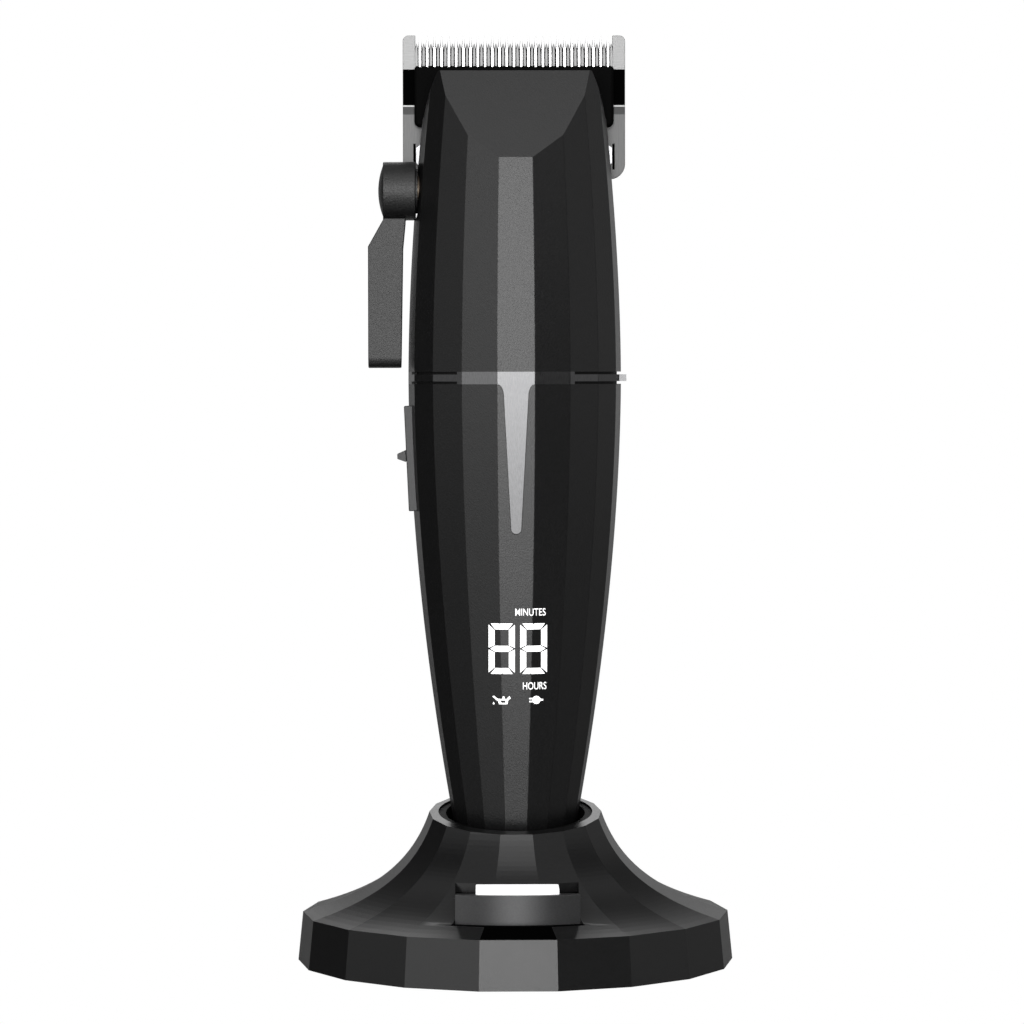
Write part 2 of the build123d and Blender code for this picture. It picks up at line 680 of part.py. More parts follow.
def blade_carriage():
    neck_top = REAR_SHELL_TOP + 0.3
    foot = [(-11.0, CARRIAGE_FOOT), (-14.8, CARRIAGE_FOOT), (-14.8, neck_top)]
    shoulder = [(-18.6, neck_top), (-20.2, neck_top + 1.6), (-20.2, 168.0), (-17.5, CARRIAGE_TOP)]
    left = foot + shoulder
    outline = left + [(-x, z) for x, z in reversed(left)]
    plate = front_plate(outline, CARRIAGE_FRONT_Y, CARRIAGE_BACK_Y)
    jaw_gap = CRANK_PIN_RADIUS + 0.22
    for low in (LEVER_Z - jaw_gap - JAW_THICKNESS, LEVER_Z + jaw_gap):
        jaw = block(-15.8, -13.0, LEVER_Y - 3.8, CARRIAGE_BACK_Y, low, low + JAW_THICKNESS)
        plate = plate + jaw
    for side in (-1, 1):
        plate = plate - rod_y(BLADE_SCREW_SHANK, 0, FAR, side * BLADE_SCREW_X, BLADE_SCREW_Z)
    return plate


def blade_screws():
    screws = []
    back = FIXED_FRONT_Y + FIXED_THICKNESS
    for side in (-1, 1):
        x = side * BLADE_SCREW_X
        shank = rod_y(BLADE_SCREW_SHANK, CARRIAGE_FRONT_Y + 0.1, back, x, BLADE_SCREW_Z)
        head = rod_y(BLADE_SCREW_HEAD, back, back + 1.3, x, BLADE_SCREW_Z)
        slot = block(x - 3, x + 3, back + 0.8, back + 2, BLADE_SCREW_Z - 0.35, BLADE_SCREW_Z + 0.35)
        screws.append((shank + head - slot).solid())
    return Compound(children=screws)


# ---------------------------------------------------------------- lever
def lever_shaft():
    web_end = LEVER_SHAFT_END_X + CRANK_WEB_THICKNESS
    shaft = rod_x(LEVER_SHAFT_RADIUS, LEVER_SHAFT_OUTER_X, LEVER_SHAFT_END_X, LEVER_Y, LEVER_Z)
    web = rod_x(CRANK_WEB_RADIUS, LEVER_SHAFT_END_X, web_end, LEVER_Y, LEVER_Z)
    pin = rod_x(CRANK_PIN_RADIUS, web_end, CRANK_PIN_END_X, LEVER_Y - CRANK_OFFSET, LEVER_Z)
    return shaft + web + pin - rod_x(SCREW_SHANK, LEVER_SHAFT_OUTER_X - 0.4, -20, LEVER_Y, LEVER_Z)


def lever_bush():
    bush = rod_x(LEVER_SHAFT_RADIUS + 1.1, SEAT_X, LEVER_SHAFT_END_X - 0.15, LEVER_Y, LEVER_Z)
    return bush - rod_x(LEVER_SHAFT_RADIUS + FIT, -FAR, 0, LEVER_Y, LEVER_Z)


def lever_washer():
    washer = rod_x(LEVER_WASHER_RADIUS, HUB_INNER_X, SEAT_X - 0.03, LEVER_Y, LEVER_Z)
    return washer - rod_x(LEVER_SHAFT_RADIUS, -FAR, 0, LEVER_Y, LEVER_Z)


def taper_lever():
    hub = rod_x(HUB_RADIUS, HUB_OUTER_X, HUB_INNER_X, LEVER_Y, LEVER_Z)
    half = LEVER_THICKNESS / 2
    arm = front_plate(LEVER_OUTLINE, LEVER_Y - half, LEVER_Y + half)
    end_z = LEVER_FOOT + half
    rounding = rod_x(half, -FAR, 0, LEVER_Y, end_z)
    rounding = rounding + block(-FAR, 0, LEVER_Y - half, LEVER_Y + half, end_z, 4 * FAR)
    lever = hub + (arm & rounding)
    lever = lever - rod_x(LEVER_SHAFT_RADIUS, LEVER_SHAFT_OUTER_X, 0, LEVER_Y, LEVER_Z)
    lever = lever - rod_x(SCREW_SHANK, -FAR, -20, LEVER_Y, LEVER_Z)
    return lever - rod_x(LEVER_SCREW_HEAD, -FAR, LEVER_SCREW_SEAT_X, LEVER_Y, LEVER_Z)


def lever_screw():
    half = LEVER_SCREW_SLOT / 2
    shank = rod_x(SCREW_SHANK, LEVER_SCREW_SEAT_X, -21.0, LEVER_Y, LEVER_Z)
    head = rod_x(LEVER_SCREW_HEAD, HUB_OUTER_X, LEVER_SCREW_SEAT_X, LEVER_Y, LEVER_Z)
    slot = block(-FAR, HUB_OUTER_X + 0.5, LEVER_Y - half, LEVER_Y + half, LEVER_Z - 3, LEVER_Z + 3)
    return shank + head - slot


def lever_cap():
    """Shallow dome over the lever's screw."""
    ball = (LEVER_CAP_RADIUS**2 + LEVER_CAP_RISE**2) / (2 * LEVER_CAP_RISE)
    dome = Pos(HUB_OUTER_X - LEVER_CAP_RISE + ball, LEVER_Y, LEVER_Z) * Sphere(ball)
    return dome & rod_x(LEVER_CAP_RADIUS, HUB_OUTER_X - 3, HUB_OUTER_X, LEVER_Y, LEVER_Z)


# ---------------------------------------------------------------- dock
def tilted_above(z):
    """Everything above the dock's tilted rim plane, which is z high at the axis."""
    return Pos(0, 0, z) * Rot(RIM_TILT, 0, 0) * Pos(0, 0, FAR) * Box(4 * FAR, 4 * FAR, 2 * FAR)


def visor_sector(inner, outer, low, high):
    ring = rod(outer, low, high) - rod(inner, low - 1, high + 1)
    reach = 2 * outer
    x = reach * math.sin(math.radians(VISOR_HALF_ANGLE))
    y = -reach * math.cos(math.radians(VISOR_HALF_ANGLE))
    corners = [Vector(0, 0, low), Vector(x, y, low), Vector(-x, y, low)]
    wedge = Face(Wire.make_polygon(corners, close=True))
    return ring & Solid.extrude(wedge, Vector(0, 0, high - low))


def ledge_zone(low, high):
    """Straight-sided room behind the visor."""
    return rod(VISOR_INNER, low, high) & block(-LEDGE_HALF, LEDGE_HALF, -FAR, -LEDGE_BACK, low, high)


def dock_outer(inset):
    """Skirt and flare of the dock as one solid, shrunk by the inset."""
    stations = [flare_point(i / 8, inset) for i in range(9)]
    foot_radius, foot_z = stations[0]
    skirt = loft(
        [
            Pos(0, 0, SKIRT_LOW) * RegularPolygon(SKIRT_RADIUS - inset, FACETS),
            Pos(0, 0, foot_z) * RegularPolygon(foot_radius, FACETS),
        ]
    )
    return skirt + loft([Pos(0, 0, z) * RegularPolygon(radius, FACETS) for radius, z in stations])


def inlet_hole(radius):
    return rod_y(radius, 30.0, FAR, 0, INLET_Z)


def screw_posts():
    turns = [math.radians(angle) for angle in (45, 135, 225, 315)]
    return [(SCREW_CIRCLE * math.cos(turn), SCREW_CIRCLE * math.sin(turn)) for turn in turns]


BASE_PLATE_LOW = FOOT_HEIGHT
BASE_PLATE_TOP = 3.2
BASE_PLATE_RADIUS = 42.2
BASE_SCREW_HEAD = 2.2


def dock_shell():
    outer = dock_outer(0.0)
    inside = dock_outer(DOCK_WALL)
    shell = outer - inside
    shell = shell - tilted_above(RIM_Z)
    shell = shell - rod(CUP_OUTER_RADIUS, CUP_FLOOR_Z, FAR)
    for x, y in screw_posts():
        post = rod(2.6, BASE_PLATE_TOP, FAR / 2, x, y) & inside
        shell = shell + post - rod(SCREW_SHANK, 0, 9.0, x, y)
    shell = shell - ledge_zone(LEDGE_TOP - LEDGE_THICKNESS, FAR)
    shell = shell - visor_sector(VISOR_INNER, VISOR_OUTER, VISOR_LOW, FAR)
    shell = shell - visor_sector(VISOR_INNER, POCKET_RADIUS, POCKET_FLOOR, FAR)
    return shell - inlet_hole(INLET_NOSE_RADIUS)


def dock_visor():
    """Curved fascia in front of a ledge that closes the notch behind it."""
    band = visor_sector(VISOR_INNER, VISOR_OUTER, VISOR_LOW, VISOR_TOP)
    return band + ledge_zone(LEDGE_TOP - LEDGE_THICKNESS, LEDGE_TOP)


def dock_light_bar():
    """Light guide lying on the ledge behind the visor's upper edge."""
    bar = rod(VISOR_INNER - FIT, LEDGE_TOP, LIGHT_TOP)
    return bar & block(-LIGHT_HALF_WIDTH, LIGHT_HALF_WIDTH, -FAR, -LEDGE_BACK - 0.7, 0, FAR)


def dock_cup():
    floor = rod(13.6, CUP_FLOOR_Z - 2.0, CUP_FLOOR_Z)
    wall = Pos(0, 0, (CUP_FLOOR_Z + 36.0) / 2) * Cylinder(CUP_OUTER_RADIUS, 36.0 - CUP_FLOOR_Z)
    funnel = Pos(0, 0, (CUP_FLOOR_Z + 37.0) / 2) * Cone(12.3, MOUTH_RADIUS + 0.4, 37.0 - CUP_FLOOR_Z)
    cup = floor + wall - funnel - tilted_above(RIM_Z - 0.4)
    for angle in (90, 210, 330):
        turn = math.radians(angle)
        x, y = REST_CIRCLE * math.cos(turn), REST_CIRCLE * math.sin(turn)
        cup = cup + rod(REST_RADIUS, CUP_FLOOR_Z, CLIPPER_BOTTOM - FIT, x, y)
    for side in (-1, 1):
        cup = cup - rod(PIN_RADIUS + 0.06, 0, CUP_FLOOR_Z + 1, side * PAD_X)
    return cup


def contact_block():
    """Insulating block under the cup that guides the two contact pins."""
    base = block(-8.0, 8.0, -3.0, 3.0, 8.2, CUP_FLOOR_Z - 2.0)
    for side in (-1, 1):
        base = base - rod(PIN_RADIUS + 0.06, 9.2, FAR, side * PAD_X)
        base = base - rod(1.6, 9.2, 13.2, side * PAD_X)
    return base


def contact_pin(side):
    top = CLIPPER_BOTTOM - FIT
    pin = rod(PIN_RADIUS, 12.0, top - 0.4, side * PAD_X) + rod(0.7, top - 0.4, top, side * PAD_X)
    return pin + rod(1.45, 12.0, 12.6, side * PAD_X)


def contact_spring(side):
    return rod(1.3, 9.2, 12.0, side * PAD_X) - rod(0.9, 0, FAR, side * PAD_X)


def dock_board():
    return block(-20.0, 20.0, -14.0, 26.0, 6.6, 8.2)


def dock_power_socket():
    """Barrel jack behind the rear opening of the skirt."""
    body = block(-4.6, 4.6, 29.0, 40.4, BASE_PLATE_TOP, 8.9)
    nose = rod_y(INLET_NOSE_RADIUS, 40.4, 43.0, 0, INLET_Z)
    jack = body + nose - rod_y(INLET_RADIUS, 40.0, FAR, 0, INLET_Z)
    jack = jack - rod_y(JACK_RADIUS, 31.0, 40.0, 0, INLET_Z)
    jack = jack + rod_y(JACK_PIN_RADIUS, 30.0, 38.5, 0, INLET_Z)
    return jack & block(-FAR, FAR, 0, 43.0, BASE_PLATE_TOP, FAR)


def dock_base_plate():
    plate = faceted_prism(BASE_PLATE_RADIUS, BASE_PLATE_LOW, BASE_PLATE_TOP)
    for x, y in screw_posts():
        sink = rod(BASE_SCREW_HEAD, 0, BASE_PLATE_LOW + 1.0, x, y)
        plate = plate - rod(SCREW_SHANK, 0, FAR, x, y) - sink
    return plate - rod_y(INLET_RADIUS + 0.3, 39.0, FAR, 0, INLET_Z)


def dock_screws():
    screws = []
    for x, y in screw_posts():
        head = rod(BASE_SCREW_HEAD, BASE_PLATE_LOW, BASE_PLATE_LOW + 1.0, x, y)
        shank = rod(SCREW_SHANK, BASE_PLATE_LOW + 1.0, 8.5, x, y)
        drive = rod(0.9, BASE_PLATE_LOW - 1, BASE_PLATE_LOW + 0.6, x, y)
        screws.append((head + shank - drive).solid())
    return Compound(children=screws)


def dock_ballast():
    return rod(BALLAST_RADIUS, BASE_PLATE_TOP, BASE_PLATE_TOP + BALLAST_HEIGHT)


def dock_foot_ring():
    return rod(FOOT_OUTER, 0, FOOT_HEIGHT) - rod(FOOT_INNER, -1, FOOT_HEIGHT + 1)


# ---------------------------------------------------------------- output
def write(name, shape):
    solids = shape.solids()
    body = solids[0] if len(solids) == 1 else Compound(children=list(solids))
    export_step(body, f"parts/{name}.step")


def build():
    os.makedirs("parts", exist_ok=True)
    grip_front, grip_rear = grip_shells()
    head_front, head_rear = head_shells()
    nodes = {
        "dock_shell": dock_shell(),
        "dock_visor": dock_visor(),
        "dock_light_bar": dock_light_bar(),
        "dock_cup": dock_cup(),
        "dock_board": dock_board(),
        "dock_power_socket": dock_power_socket(),
        "dock_base_plate": dock_base_plate(),
        "dock_screws": dock_screws(),
        "dock_ballast": dock_ballast(),
        "dock_foot_ring": dock_foot_ring(),
        "contact_block": contact_block(),
        "contact_pin_left": contact_pin(-1),
        "contact_pin_right": contact_pin(1),
        "contact_spring_left": contact_spring(-1),
        "contact_spring_right": contact_spring(1),
        "grip_front_shell": grip_front,
        "grip_rear_shell": grip_rear,
        "trim_ring": trim_ring(),
        "end_cap": end_cap(),
        "contact_pads": contact_pads(),
        "charge_socket": charge_socket(),
        "battery_cell": battery_cell(),
        "battery_cradle": battery_cradle(),
        "display_board": display_board(),
        "display_digits": display_digits(),
        "main_board": main_board(),
        "slide_switch": slide_switch(),
        "switch_plate": switch_plate(),
        "switch_slider": switch_slider(),
        "grip_screws": grip_screws(),
        "head_screws": head_screws(),
        "motor_can": motor_can(),
        "motor_end_bell": motor_end_bell(),
        "motor_mount": motor_mount(),
        "motor_screws": motor_screws(),
        "drive_shaft": drive_shaft(),
        "eccentric": eccentric(),
        "head_front_cover": head_front,
        "head_rear_shell": head_rear,
        "blade_base": blade_base(),
        "cutter_spring": cutter_spring(),
        "fixed_blade": fixed_blade(),
        "blade_carriage": blade_carriage(),
        "blade_screws": blade_screws(),
        "moving_blade": moving_blade(),
        "drive_fork": drive_fork(),
        "lever_bush": lever_bush(),
        "lever_shaft": lever_shaft(),
        "lever_washer": lever_washer(),
        "taper_lever": taper_lever(),
        "lever_screw": lever_screw(),
        "lever_cap": lever_cap(),
    }
    for name, shape in nodes.items():
        write(name, shape)


build()
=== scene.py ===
"""Hair clipper standing in its charging dock: the look of every piece.

Shapes are laid out in millimetres and turned into metres when a piece is hung on its body.
Z is up, the front of the clipper faces -Y.
"""
import json
import math

import bmesh
import bpy
from mathutils import Matrix, Vector

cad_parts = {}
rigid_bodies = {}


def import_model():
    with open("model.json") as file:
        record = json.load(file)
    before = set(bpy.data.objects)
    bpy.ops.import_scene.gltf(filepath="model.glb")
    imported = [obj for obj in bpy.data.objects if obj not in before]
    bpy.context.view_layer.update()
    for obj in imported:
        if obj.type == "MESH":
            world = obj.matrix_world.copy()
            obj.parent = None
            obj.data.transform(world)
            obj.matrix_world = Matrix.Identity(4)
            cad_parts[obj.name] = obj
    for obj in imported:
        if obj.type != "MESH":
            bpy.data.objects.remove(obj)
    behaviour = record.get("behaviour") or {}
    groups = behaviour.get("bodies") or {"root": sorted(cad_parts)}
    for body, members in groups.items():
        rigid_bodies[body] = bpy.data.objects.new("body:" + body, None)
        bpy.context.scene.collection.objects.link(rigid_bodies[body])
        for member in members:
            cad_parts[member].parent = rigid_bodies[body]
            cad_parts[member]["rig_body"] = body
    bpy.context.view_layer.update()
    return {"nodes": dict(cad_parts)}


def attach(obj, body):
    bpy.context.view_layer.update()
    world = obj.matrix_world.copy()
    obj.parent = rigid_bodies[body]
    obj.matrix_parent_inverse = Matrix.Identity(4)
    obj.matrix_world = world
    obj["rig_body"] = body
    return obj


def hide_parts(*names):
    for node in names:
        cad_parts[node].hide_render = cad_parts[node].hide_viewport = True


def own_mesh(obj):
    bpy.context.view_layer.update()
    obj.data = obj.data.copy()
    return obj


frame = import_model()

MM = 0.001
FAR = 60.0
SLOT_OF = {node: piece.data.materials[0].name for node, piece in frame["nodes"].items()}
for plain in list(bpy.data.materials):
    plain.name = "plain_" + plain.name

# ---------------------------------------------------------------- sizes
FACETS = 18
HALF_FACET = math.radians(180 / FACETS)
WIDEST_RADIUS = 21.9
WIDEST_Z = 120.5
GRIP_TAPER = 0.0027
HEAD_TAPER = 0.00237
TAPER_POWER = 1.8
GRIP_LOW = 20.0
RING_LOW = 119.3
RING_HIGH = 121.8
HEAD_TOP = 183.0
SHELL_WALL = 1.8
SPIKE_DEPTH = 0.8
SWITCH_LOW = 93.2
SWITCH_HIGH = 114.8
LEVER_Z = 158.9
BLADE_HALF = 23.0
HEAD_WALL = 1.7
SLOPE_FOOT = (-19.4, 164.9)
SLOPE_TOP = (-8.8, HEAD_TOP)
RAMP_FOOT = (21.5, 138.0)
RAMP_TOP = (9.5, 161.3)
SPLIT_TOP = 163.0
LID_BACK = 3.4
CORNER_RADIUS = 33.5
CORNER_START = (18.6, 174.0)
CORNER_TURNS = (10.0, 27.6)
BAND_LOW = 119.85
BAND_HIGH = 121.25
GRIP_SCREW_HEIGHTS = (46.0, 61.0)
HEAD_SCREW = (7.4, 18.35, 136.75)
BLADE_SCREW = (9.0, 166.5)
BASE_SCREW_CIRCLE = 33.0
SINK_RADIUS = 1.75
PIN_X = 5.0
EAR_INNER = 20.4
TEETH_HALF = 20.9
TOOTH_COUNT = 28
TOOTH_PITCH = 2 * TEETH_HALF / TOOTH_COUNT
FIXED_FRONT = 6.0
FIXED_BACK = 8.4
CUTTER_FRONT = 3.9
CUTTER_BACK = 5.94
CUTTER_HALF = 20.6
RIM_Z = 31.1
RIM_TILT = 8.6
SKIRT_LOW = 0.4
SKIRT_TOP = 10.4
SKIRT_RADIUS = 44.9
SKIRT_TOP_RADIUS = 43.9
DOCK_WALL = 2.0
CUP_RADIUS = 15.9
CUP_FLOOR = 17.0
VISOR_INNER = 34.1
VISOR_OUTER = 35.6
NOTCH_HALF = 12.4
NOTCH_BACK = 25.7
LEDGE_LOW = 16.4
POCKET_RADIUS = 38.6
POCKET_FLOOR = 12.2
INLET_Z = 5.6
INLET_RADIUS = 4.4
FLARE_PULL = (20.4, 17.1)
FLARE_END = (16.4, 36.0)
FLARE_WEIGHT = 1.2


# ---------------------------------------------------------------- geometry trees
class Tree:
    """A geometry tree put together step by step, with named inputs for its sizes."""

    def __init__(self, name, **sizes):
        self.group = bpy.data.node_groups.new(name, "GeometryNodeTree")
        self.group.interface.new_socket("Geometry", in_out="OUTPUT", socket_type="NodeSocketGeometry")
        self.identifiers = {}
        for label, value in sizes.items():
            kind = "NodeSocketInt" if isinstance(value, int) else "NodeSocketFloat"
            socket = self.group.interface.new_socket(label, in_out="INPUT", socket_type=kind)
            socket.default_value = value
            self.identifiers[label] = socket.identifier
        self.entry = self.group.nodes.new("NodeGroupInput")

    def size(self, label):
        return self.entry.outputs[label]

    def feed(self, socket, value):
        if isinstance(value, bpy.types.NodeSocket):
            self.group.links.new(value, socket)
        else:
            socket.default_value = value

    def node(self, kind, inputs=None, **settings):
        made = self.group.nodes.new(kind)
        for label, value in settings.items():
            setattr(made, label, value)
        for label, value in (inputs or {}).items():
            self.feed(made.inputs[label], value)
        return made

    def sum(self, operation, *values):
        return self.node("ShaderNodeMath", dict(enumerate(values)), operation=operation).outputs[0]

    def vector(self, x, y, z):
        return self.node("ShaderNodeCombineXYZ", {0: x, 1: y, 2: z}).outputs[0]

    def place(self):
        split = self.node("ShaderNodeSeparateXYZ", {0: self.node("GeometryNodeInputPosition").outputs[0]})
        return split.outputs[0], split.outputs[1], split.outputs[2]

    def moved(self, geometry, position):
        step = self.node("GeometryNodeSetPosition", {"Geometry": geometry, "Position": position})
        return step.outputs[0]

    def close(self, geometry, material):
        """Ends the tree: instances made real, finish set."""
        real = self.node("GeometryNodeRealizeInstances", {0: geometry})
        painted = self.node("GeometryNodeSetMaterial", {"Geometry": real.outputs[0]})
        painted.inputs["Material"].default_value = material
        ending = self.group.nodes.new("NodeGroupOutput")
        self.group.links.new(painted.outputs[0], ending.inputs[0])


def link(piece):
    bpy.context.collection.objects.link(piece)
    return piece


def bake(piece):
    """Replaces a piece's mesh with what its modifiers make of it."""
    graph = bpy.context.evaluated_depsgraph_get()
    mesh = bpy.data.meshes.new_from_object(piece.evaluated_get(graph))
    piece.modifiers.clear()
    piece.data = mesh
    return piece


def grow(name, tree, **sizes):
    """Runs a finished tree with the given sizes and keeps the plain mesh."""
    piece = link(bpy.data.objects.new(name, bpy.data.meshes.new(name)))
    step = piece.modifiers.new(name, "NODES")
    step.node_group = tree.group
    for label, value in sizes.items():
        step[tree.identifiers[label]] = value
    return bake(piece)


# ---------------------------------------------------------------- solids
def solid(name, points, faces):
    mesh = bpy.data.meshes.new(name)
    mesh.from_pydata(points, [], faces)
    piece = link(bpy.data.objects.new(name, mesh))
    tidy_faces(piece)
    return piece


def tidy_faces(piece, distance=1e-4):
    """Closes seams and poles and turns every face outwards."""
    work = bmesh.new()
    work.from_mesh(piece.data)
    bmesh.ops.remove_doubles(work, verts=work.verts, dist=distance)
    bmesh.ops.recalc_face_normals(work, faces=work.faces)
    work.to_mesh(piece.data)
    work.free()


def plate(name, outline, low, high, along="Y"):
    """Outline with thickness: (x, z) points along Y, (y, z) points along X, (x, y) along Z."""
    lay = {
        "X": lambda a, b, t: (t, a, b),
        "Y": lambda a, b, t: (a, t, b),
        "Z": lambda a, b, t: (a, b, t),
    }[along]
    count = len(outline)
    points = [lay(a, b, t) for t in (low, high) for a, b in outline]
    faces = [tuple(range(count)), tuple(range(2 * count - 1, count - 1, -1))]
    faces += [(i, (i + 1) % count, count + (i + 1) % count, count + i) for i in range(count)]
    return solid(name, points, faces)


def mirrored(half):
    """Half an outline followed by its mirror image."""
    return half + [(-x, z) for x, z in reversed(half)]


def brick(name, x0, x1, y0, y1, z0, z1):
    return plate(name, [(x0, y0), (x1, y0), (x1, y1), (x0, y1)], z0, z1, "Z")


def lathe(name, profile, along="Z", centre=(0.0, 0.0), steps=72):
    """Closed profile of (radius, height) points turned about an axis through the centre."""
    count = len(profile)
    points = []
    for step in range(steps):
        turn = 2 * math.pi * step / steps
        for radius, height in profile:
            a, b = centre[0] + radius * math.cos(turn), centre[1] + radius * math.sin(turn)
            spot = {"X": (height, a, b), "Y": (a, height, b), "Z": (a, b, height)}[along]
            points.append(spot)
    faces = []
    for step in range(steps):
        near, far = step * count, (step + 1) % steps * count
        for i in range(count):
            j = (i + 1) % count
            corners = [near + i, near + j, far + j, far + i]
            if profile[i][0] < 1e-6:
                corners.remove(far + i)
            if profile[j][0] < 1e-6:
                corners.remove(far + j)
            if len(corners) > 2:
                faces.append(corners)
    return solid(name, points, faces)


def rod(name, radius, low, high, along="Z", centre=(0.0, 0.0), steps=64, edge=0.0):
    """Cylinder, with rounded rims when an edge radius is given."""
    profile = [(0.0, low)]
    for middle, first in ((low + edge, -90), (high - edge, 0)):
        stops = range(first, first + 91, 30) if edge else (first,)
        for angle in stops:
            turn = math.radians(angle)
            profile.append((radius - edge + edge * math.cos(turn), middle + edge * math.sin(turn)))
    profile.append((0.0, high))
    return lathe(name, profile, along, centre, steps)


def merge(piece, tool, operation):
    """One exact boolean step; the tool is used up."""
    step = piece.modifiers.new(operation, "BOOLEAN")
    step.operation = operation
    step.solver = "EXACT"
    step.object = tool
    bake(piece)
    bpy.data.objects.remove(tool)
    return piece


def cut(piece, *tools):
    for tool in tools:
        merge(piece, tool, "DIFFERENCE")
    return piece


def keep(piece, tool):
    return merge(piece, tool, "INTERSECT")


def join(piece, *tools):
    for tool in tools:
        merge(piece, tool, "UNION")
    return piece


def copy_of(piece, name):
    return link(bpy.data.objects.new(name, piece.data.copy()))


def soften(piece, width, segments=2, angle=30.0):
    """Rounds the edges that are sharper than an angle."""
    step = piece.modifiers.new("soften", "BEVEL")
    step.limit_method = "ANGLE"
    step.angle_limit = math.radians(angle)
    step.width = width
    step.segments = segments
    step.use_clamp_overlap = True
    return bake(piece)


def shade(piece, angle=35.0):
    """Smooth faces with crisp edges, weighted so that flat faces stay flat."""
    piece.data.shade_smooth()
    piece.data.set_sharp_from_angle(angle=math.radians(angle))
    step = piece.modifiers.new("weigh", "WEIGHTED_NORMAL")
    step.keep_sharp = True
    step.weight = 80
    return bake(piece)


def wear(piece, *materials):
    piece.data.materials.clear()
    for material in materials:
        piece.data.materials.append(material)
    if len(materials) == 1:
        for face in piece.data.polygons:
            face.material_index = 0
    return piece


def hang(piece, body, slot, *nodes):
    """Millimetres to metres, then onto its body in place of the plain solids."""
    piece.data.transform(Matrix.Scale(MM, 4))
    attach(piece, body)
    if nodes:
        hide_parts(*nodes)
    return piece


# ---------------------------------------------------------------- finishes
GRAIN_DETAIL = 3.0
GLOSS_SPREAD = 0.06


def finish(name, colour, roughness=0.4, metallic=0.0, tint=0.12, grain=0.3, depth=0.004,
           stretch=(1.0, 1.0, 1.0), glow=0.0, ior=1.5):
    """Finish with a fine grain of the given size and depth in millimetres."""
    material = bpy.data.materials.new(name)
    material.use_nodes = True
    nodes, links = material.node_tree.nodes, material.node_tree.links
    shader = nodes["Principled BSDF"]
    shader.inputs["Metallic"].default_value = metallic
    shader.inputs["IOR"].default_value = ior
    where = nodes.new("ShaderNodeTexCoord")
    turned = nodes.new("ShaderNodeMapping")
    turned.inputs["Scale"].default_value = stretch
    links.new(where.outputs["Object"], turned.inputs["Vector"])
    noise = nodes.new("ShaderNodeTexNoise")
    noise.inputs["Scale"].default_value = 1 / (grain * MM)
    noise.inputs["Detail"].default_value = GRAIN_DETAIL
    links.new(turned.outputs["Vector"], noise.inputs["Vector"])
    shades = nodes.new("ShaderNodeValToRGB")
    for stop, factor, place in zip(shades.color_ramp.elements, (1 - tint, 1 + tint), (0.3, 0.7)):
        stop.position = place
        stop.color = (*[min(1.0, c * factor) for c in colour], 1.0)
    links.new(noise.outputs["Fac"], shades.inputs["Fac"])
    links.new(shades.outputs["Color"], shader.inputs["Base Color"])
    gloss = nodes.new("ShaderNodeMapRange")
    gloss.inputs["To Min"].default_value = max(0.02, roughness - GLOSS_SPREAD)
    gloss.inputs["To Max"].default_value = min(1.0, roughness + GLOSS_SPREAD)
    links.new(noise.outputs["Fac"], gloss.inputs["Value"])
    links.new(gloss.outputs["Result"], shader.inputs["Roughness"])
    if depth:
        bump = nodes.new("ShaderNodeBump")
        bump.inputs["Distance"].default_value = depth * MM
        bump.inputs["Strength"].default_value = 1.0
        links.new(noise.outputs["Fac"], bump.inputs["Height"])
        links.new(bump.outputs["Normal"], shader.inputs["Normal"])
    if glow:
        links.new(shades.outputs["Color"], shader.inputs["Emission Color"])
        shader.inputs["Emission Strength"].default_value = glow
    return material


powder_coat = finish("powder_coat", (0.004, 0.004, 0.0042), 0.34, grain=0.34, depth=0.035, tint=0.4)
lever_coat = finish("lever_coat", (0.005, 0.005, 0.005), 0.42, grain=0.38, depth=0.07, tint=0.4)
dock_coat = finish("dock_coat", (0.004, 0.004, 0.0042), 0.32, grain=0.4, depth=0.006, tint=0.3)
# painted shade for the faces inside the trim ring's grooves
groove_black = finish("groove_black", (0.004, 0.004, 0.004), 0.6, grain=0.4)
trim_metal = finish("trim_metal", (0.115, 0.115, 0.117), 0.3, 1.0,
                    grain=0.2, depth=0.002, stretch=(1, 1, 0.2))
visor_satin = finish("visor_satin", (0.045, 0.045, 0.046), 0.34, 0.4, grain=0.3, depth=0.002)
light_guide = finish("light_guide", (1.0, 1.0, 1.0), 0.3, grain=0.6, tint=0.02, glow=0.68)
lit_white = finish("lit_white", (1.0, 1.0, 1.0), 0.4, grain=0.6, tint=0.02, glow=0.9)
cup_black = finish("cup_black", (0.003, 0.003, 0.003), 0.6, grain=0.4, ior=1.2)
ground_steel = finish("ground_steel", (0.27, 0.27, 0.27), 0.5, 1.0,
                      grain=0.25, depth=0.001, stretch=(0.1, 1, 1))
brushed_steel = finish("brushed_steel", (0.15, 0.15, 0.15), 0.55, 1.0,
                       grain=0.25, depth=0.002, stretch=(1, 1, 0.08))
# near-black, almost reflectionless finish: the blade's black band, and painted shade under the visor, on the
# notch's ledge and in the blade's carriage slots
band_black = finish("band_black", (0.0008, 0.0008, 0.0008), 0.6, grain=0.3, ior=1.04)
step_grey = finish("step_grey", (0.03, 0.03, 0.03), 0.5, grain=0.3)
# painted highlight: light grey for a thin line across the blade's flat front face
bright_edge = finish("bright_edge", (0.6, 0.6, 0.6), 0.5, 0.2, grain=0.3)
cutter_black = finish("cutter_black", (0.003, 0.003, 0.003), 0.5, grain=0.3, depth=0.002, ior=1.06)
polished_steel = finish("polished_steel", (0.62, 0.62, 0.62), 0.18, 1.0, grain=0.3, depth=0.0005)
slider_grey = finish("slider_grey", (0.03, 0.03, 0.031), 0.45, grain=0.3, depth=0.004)
rubber_black = finish("rubber_black", (0.012, 0.012, 0.012), 0.8, grain=0.5, depth=0.01)
screw_steel = finish("screw_steel", (0.32, 0.32, 0.33), 0.32, 1.0, grain=0.3, depth=0.001)
contact_brass = finish("contact_brass", (0.78, 0.56, 0.25), 0.28, 1.0, grain=0.3, depth=0.001)
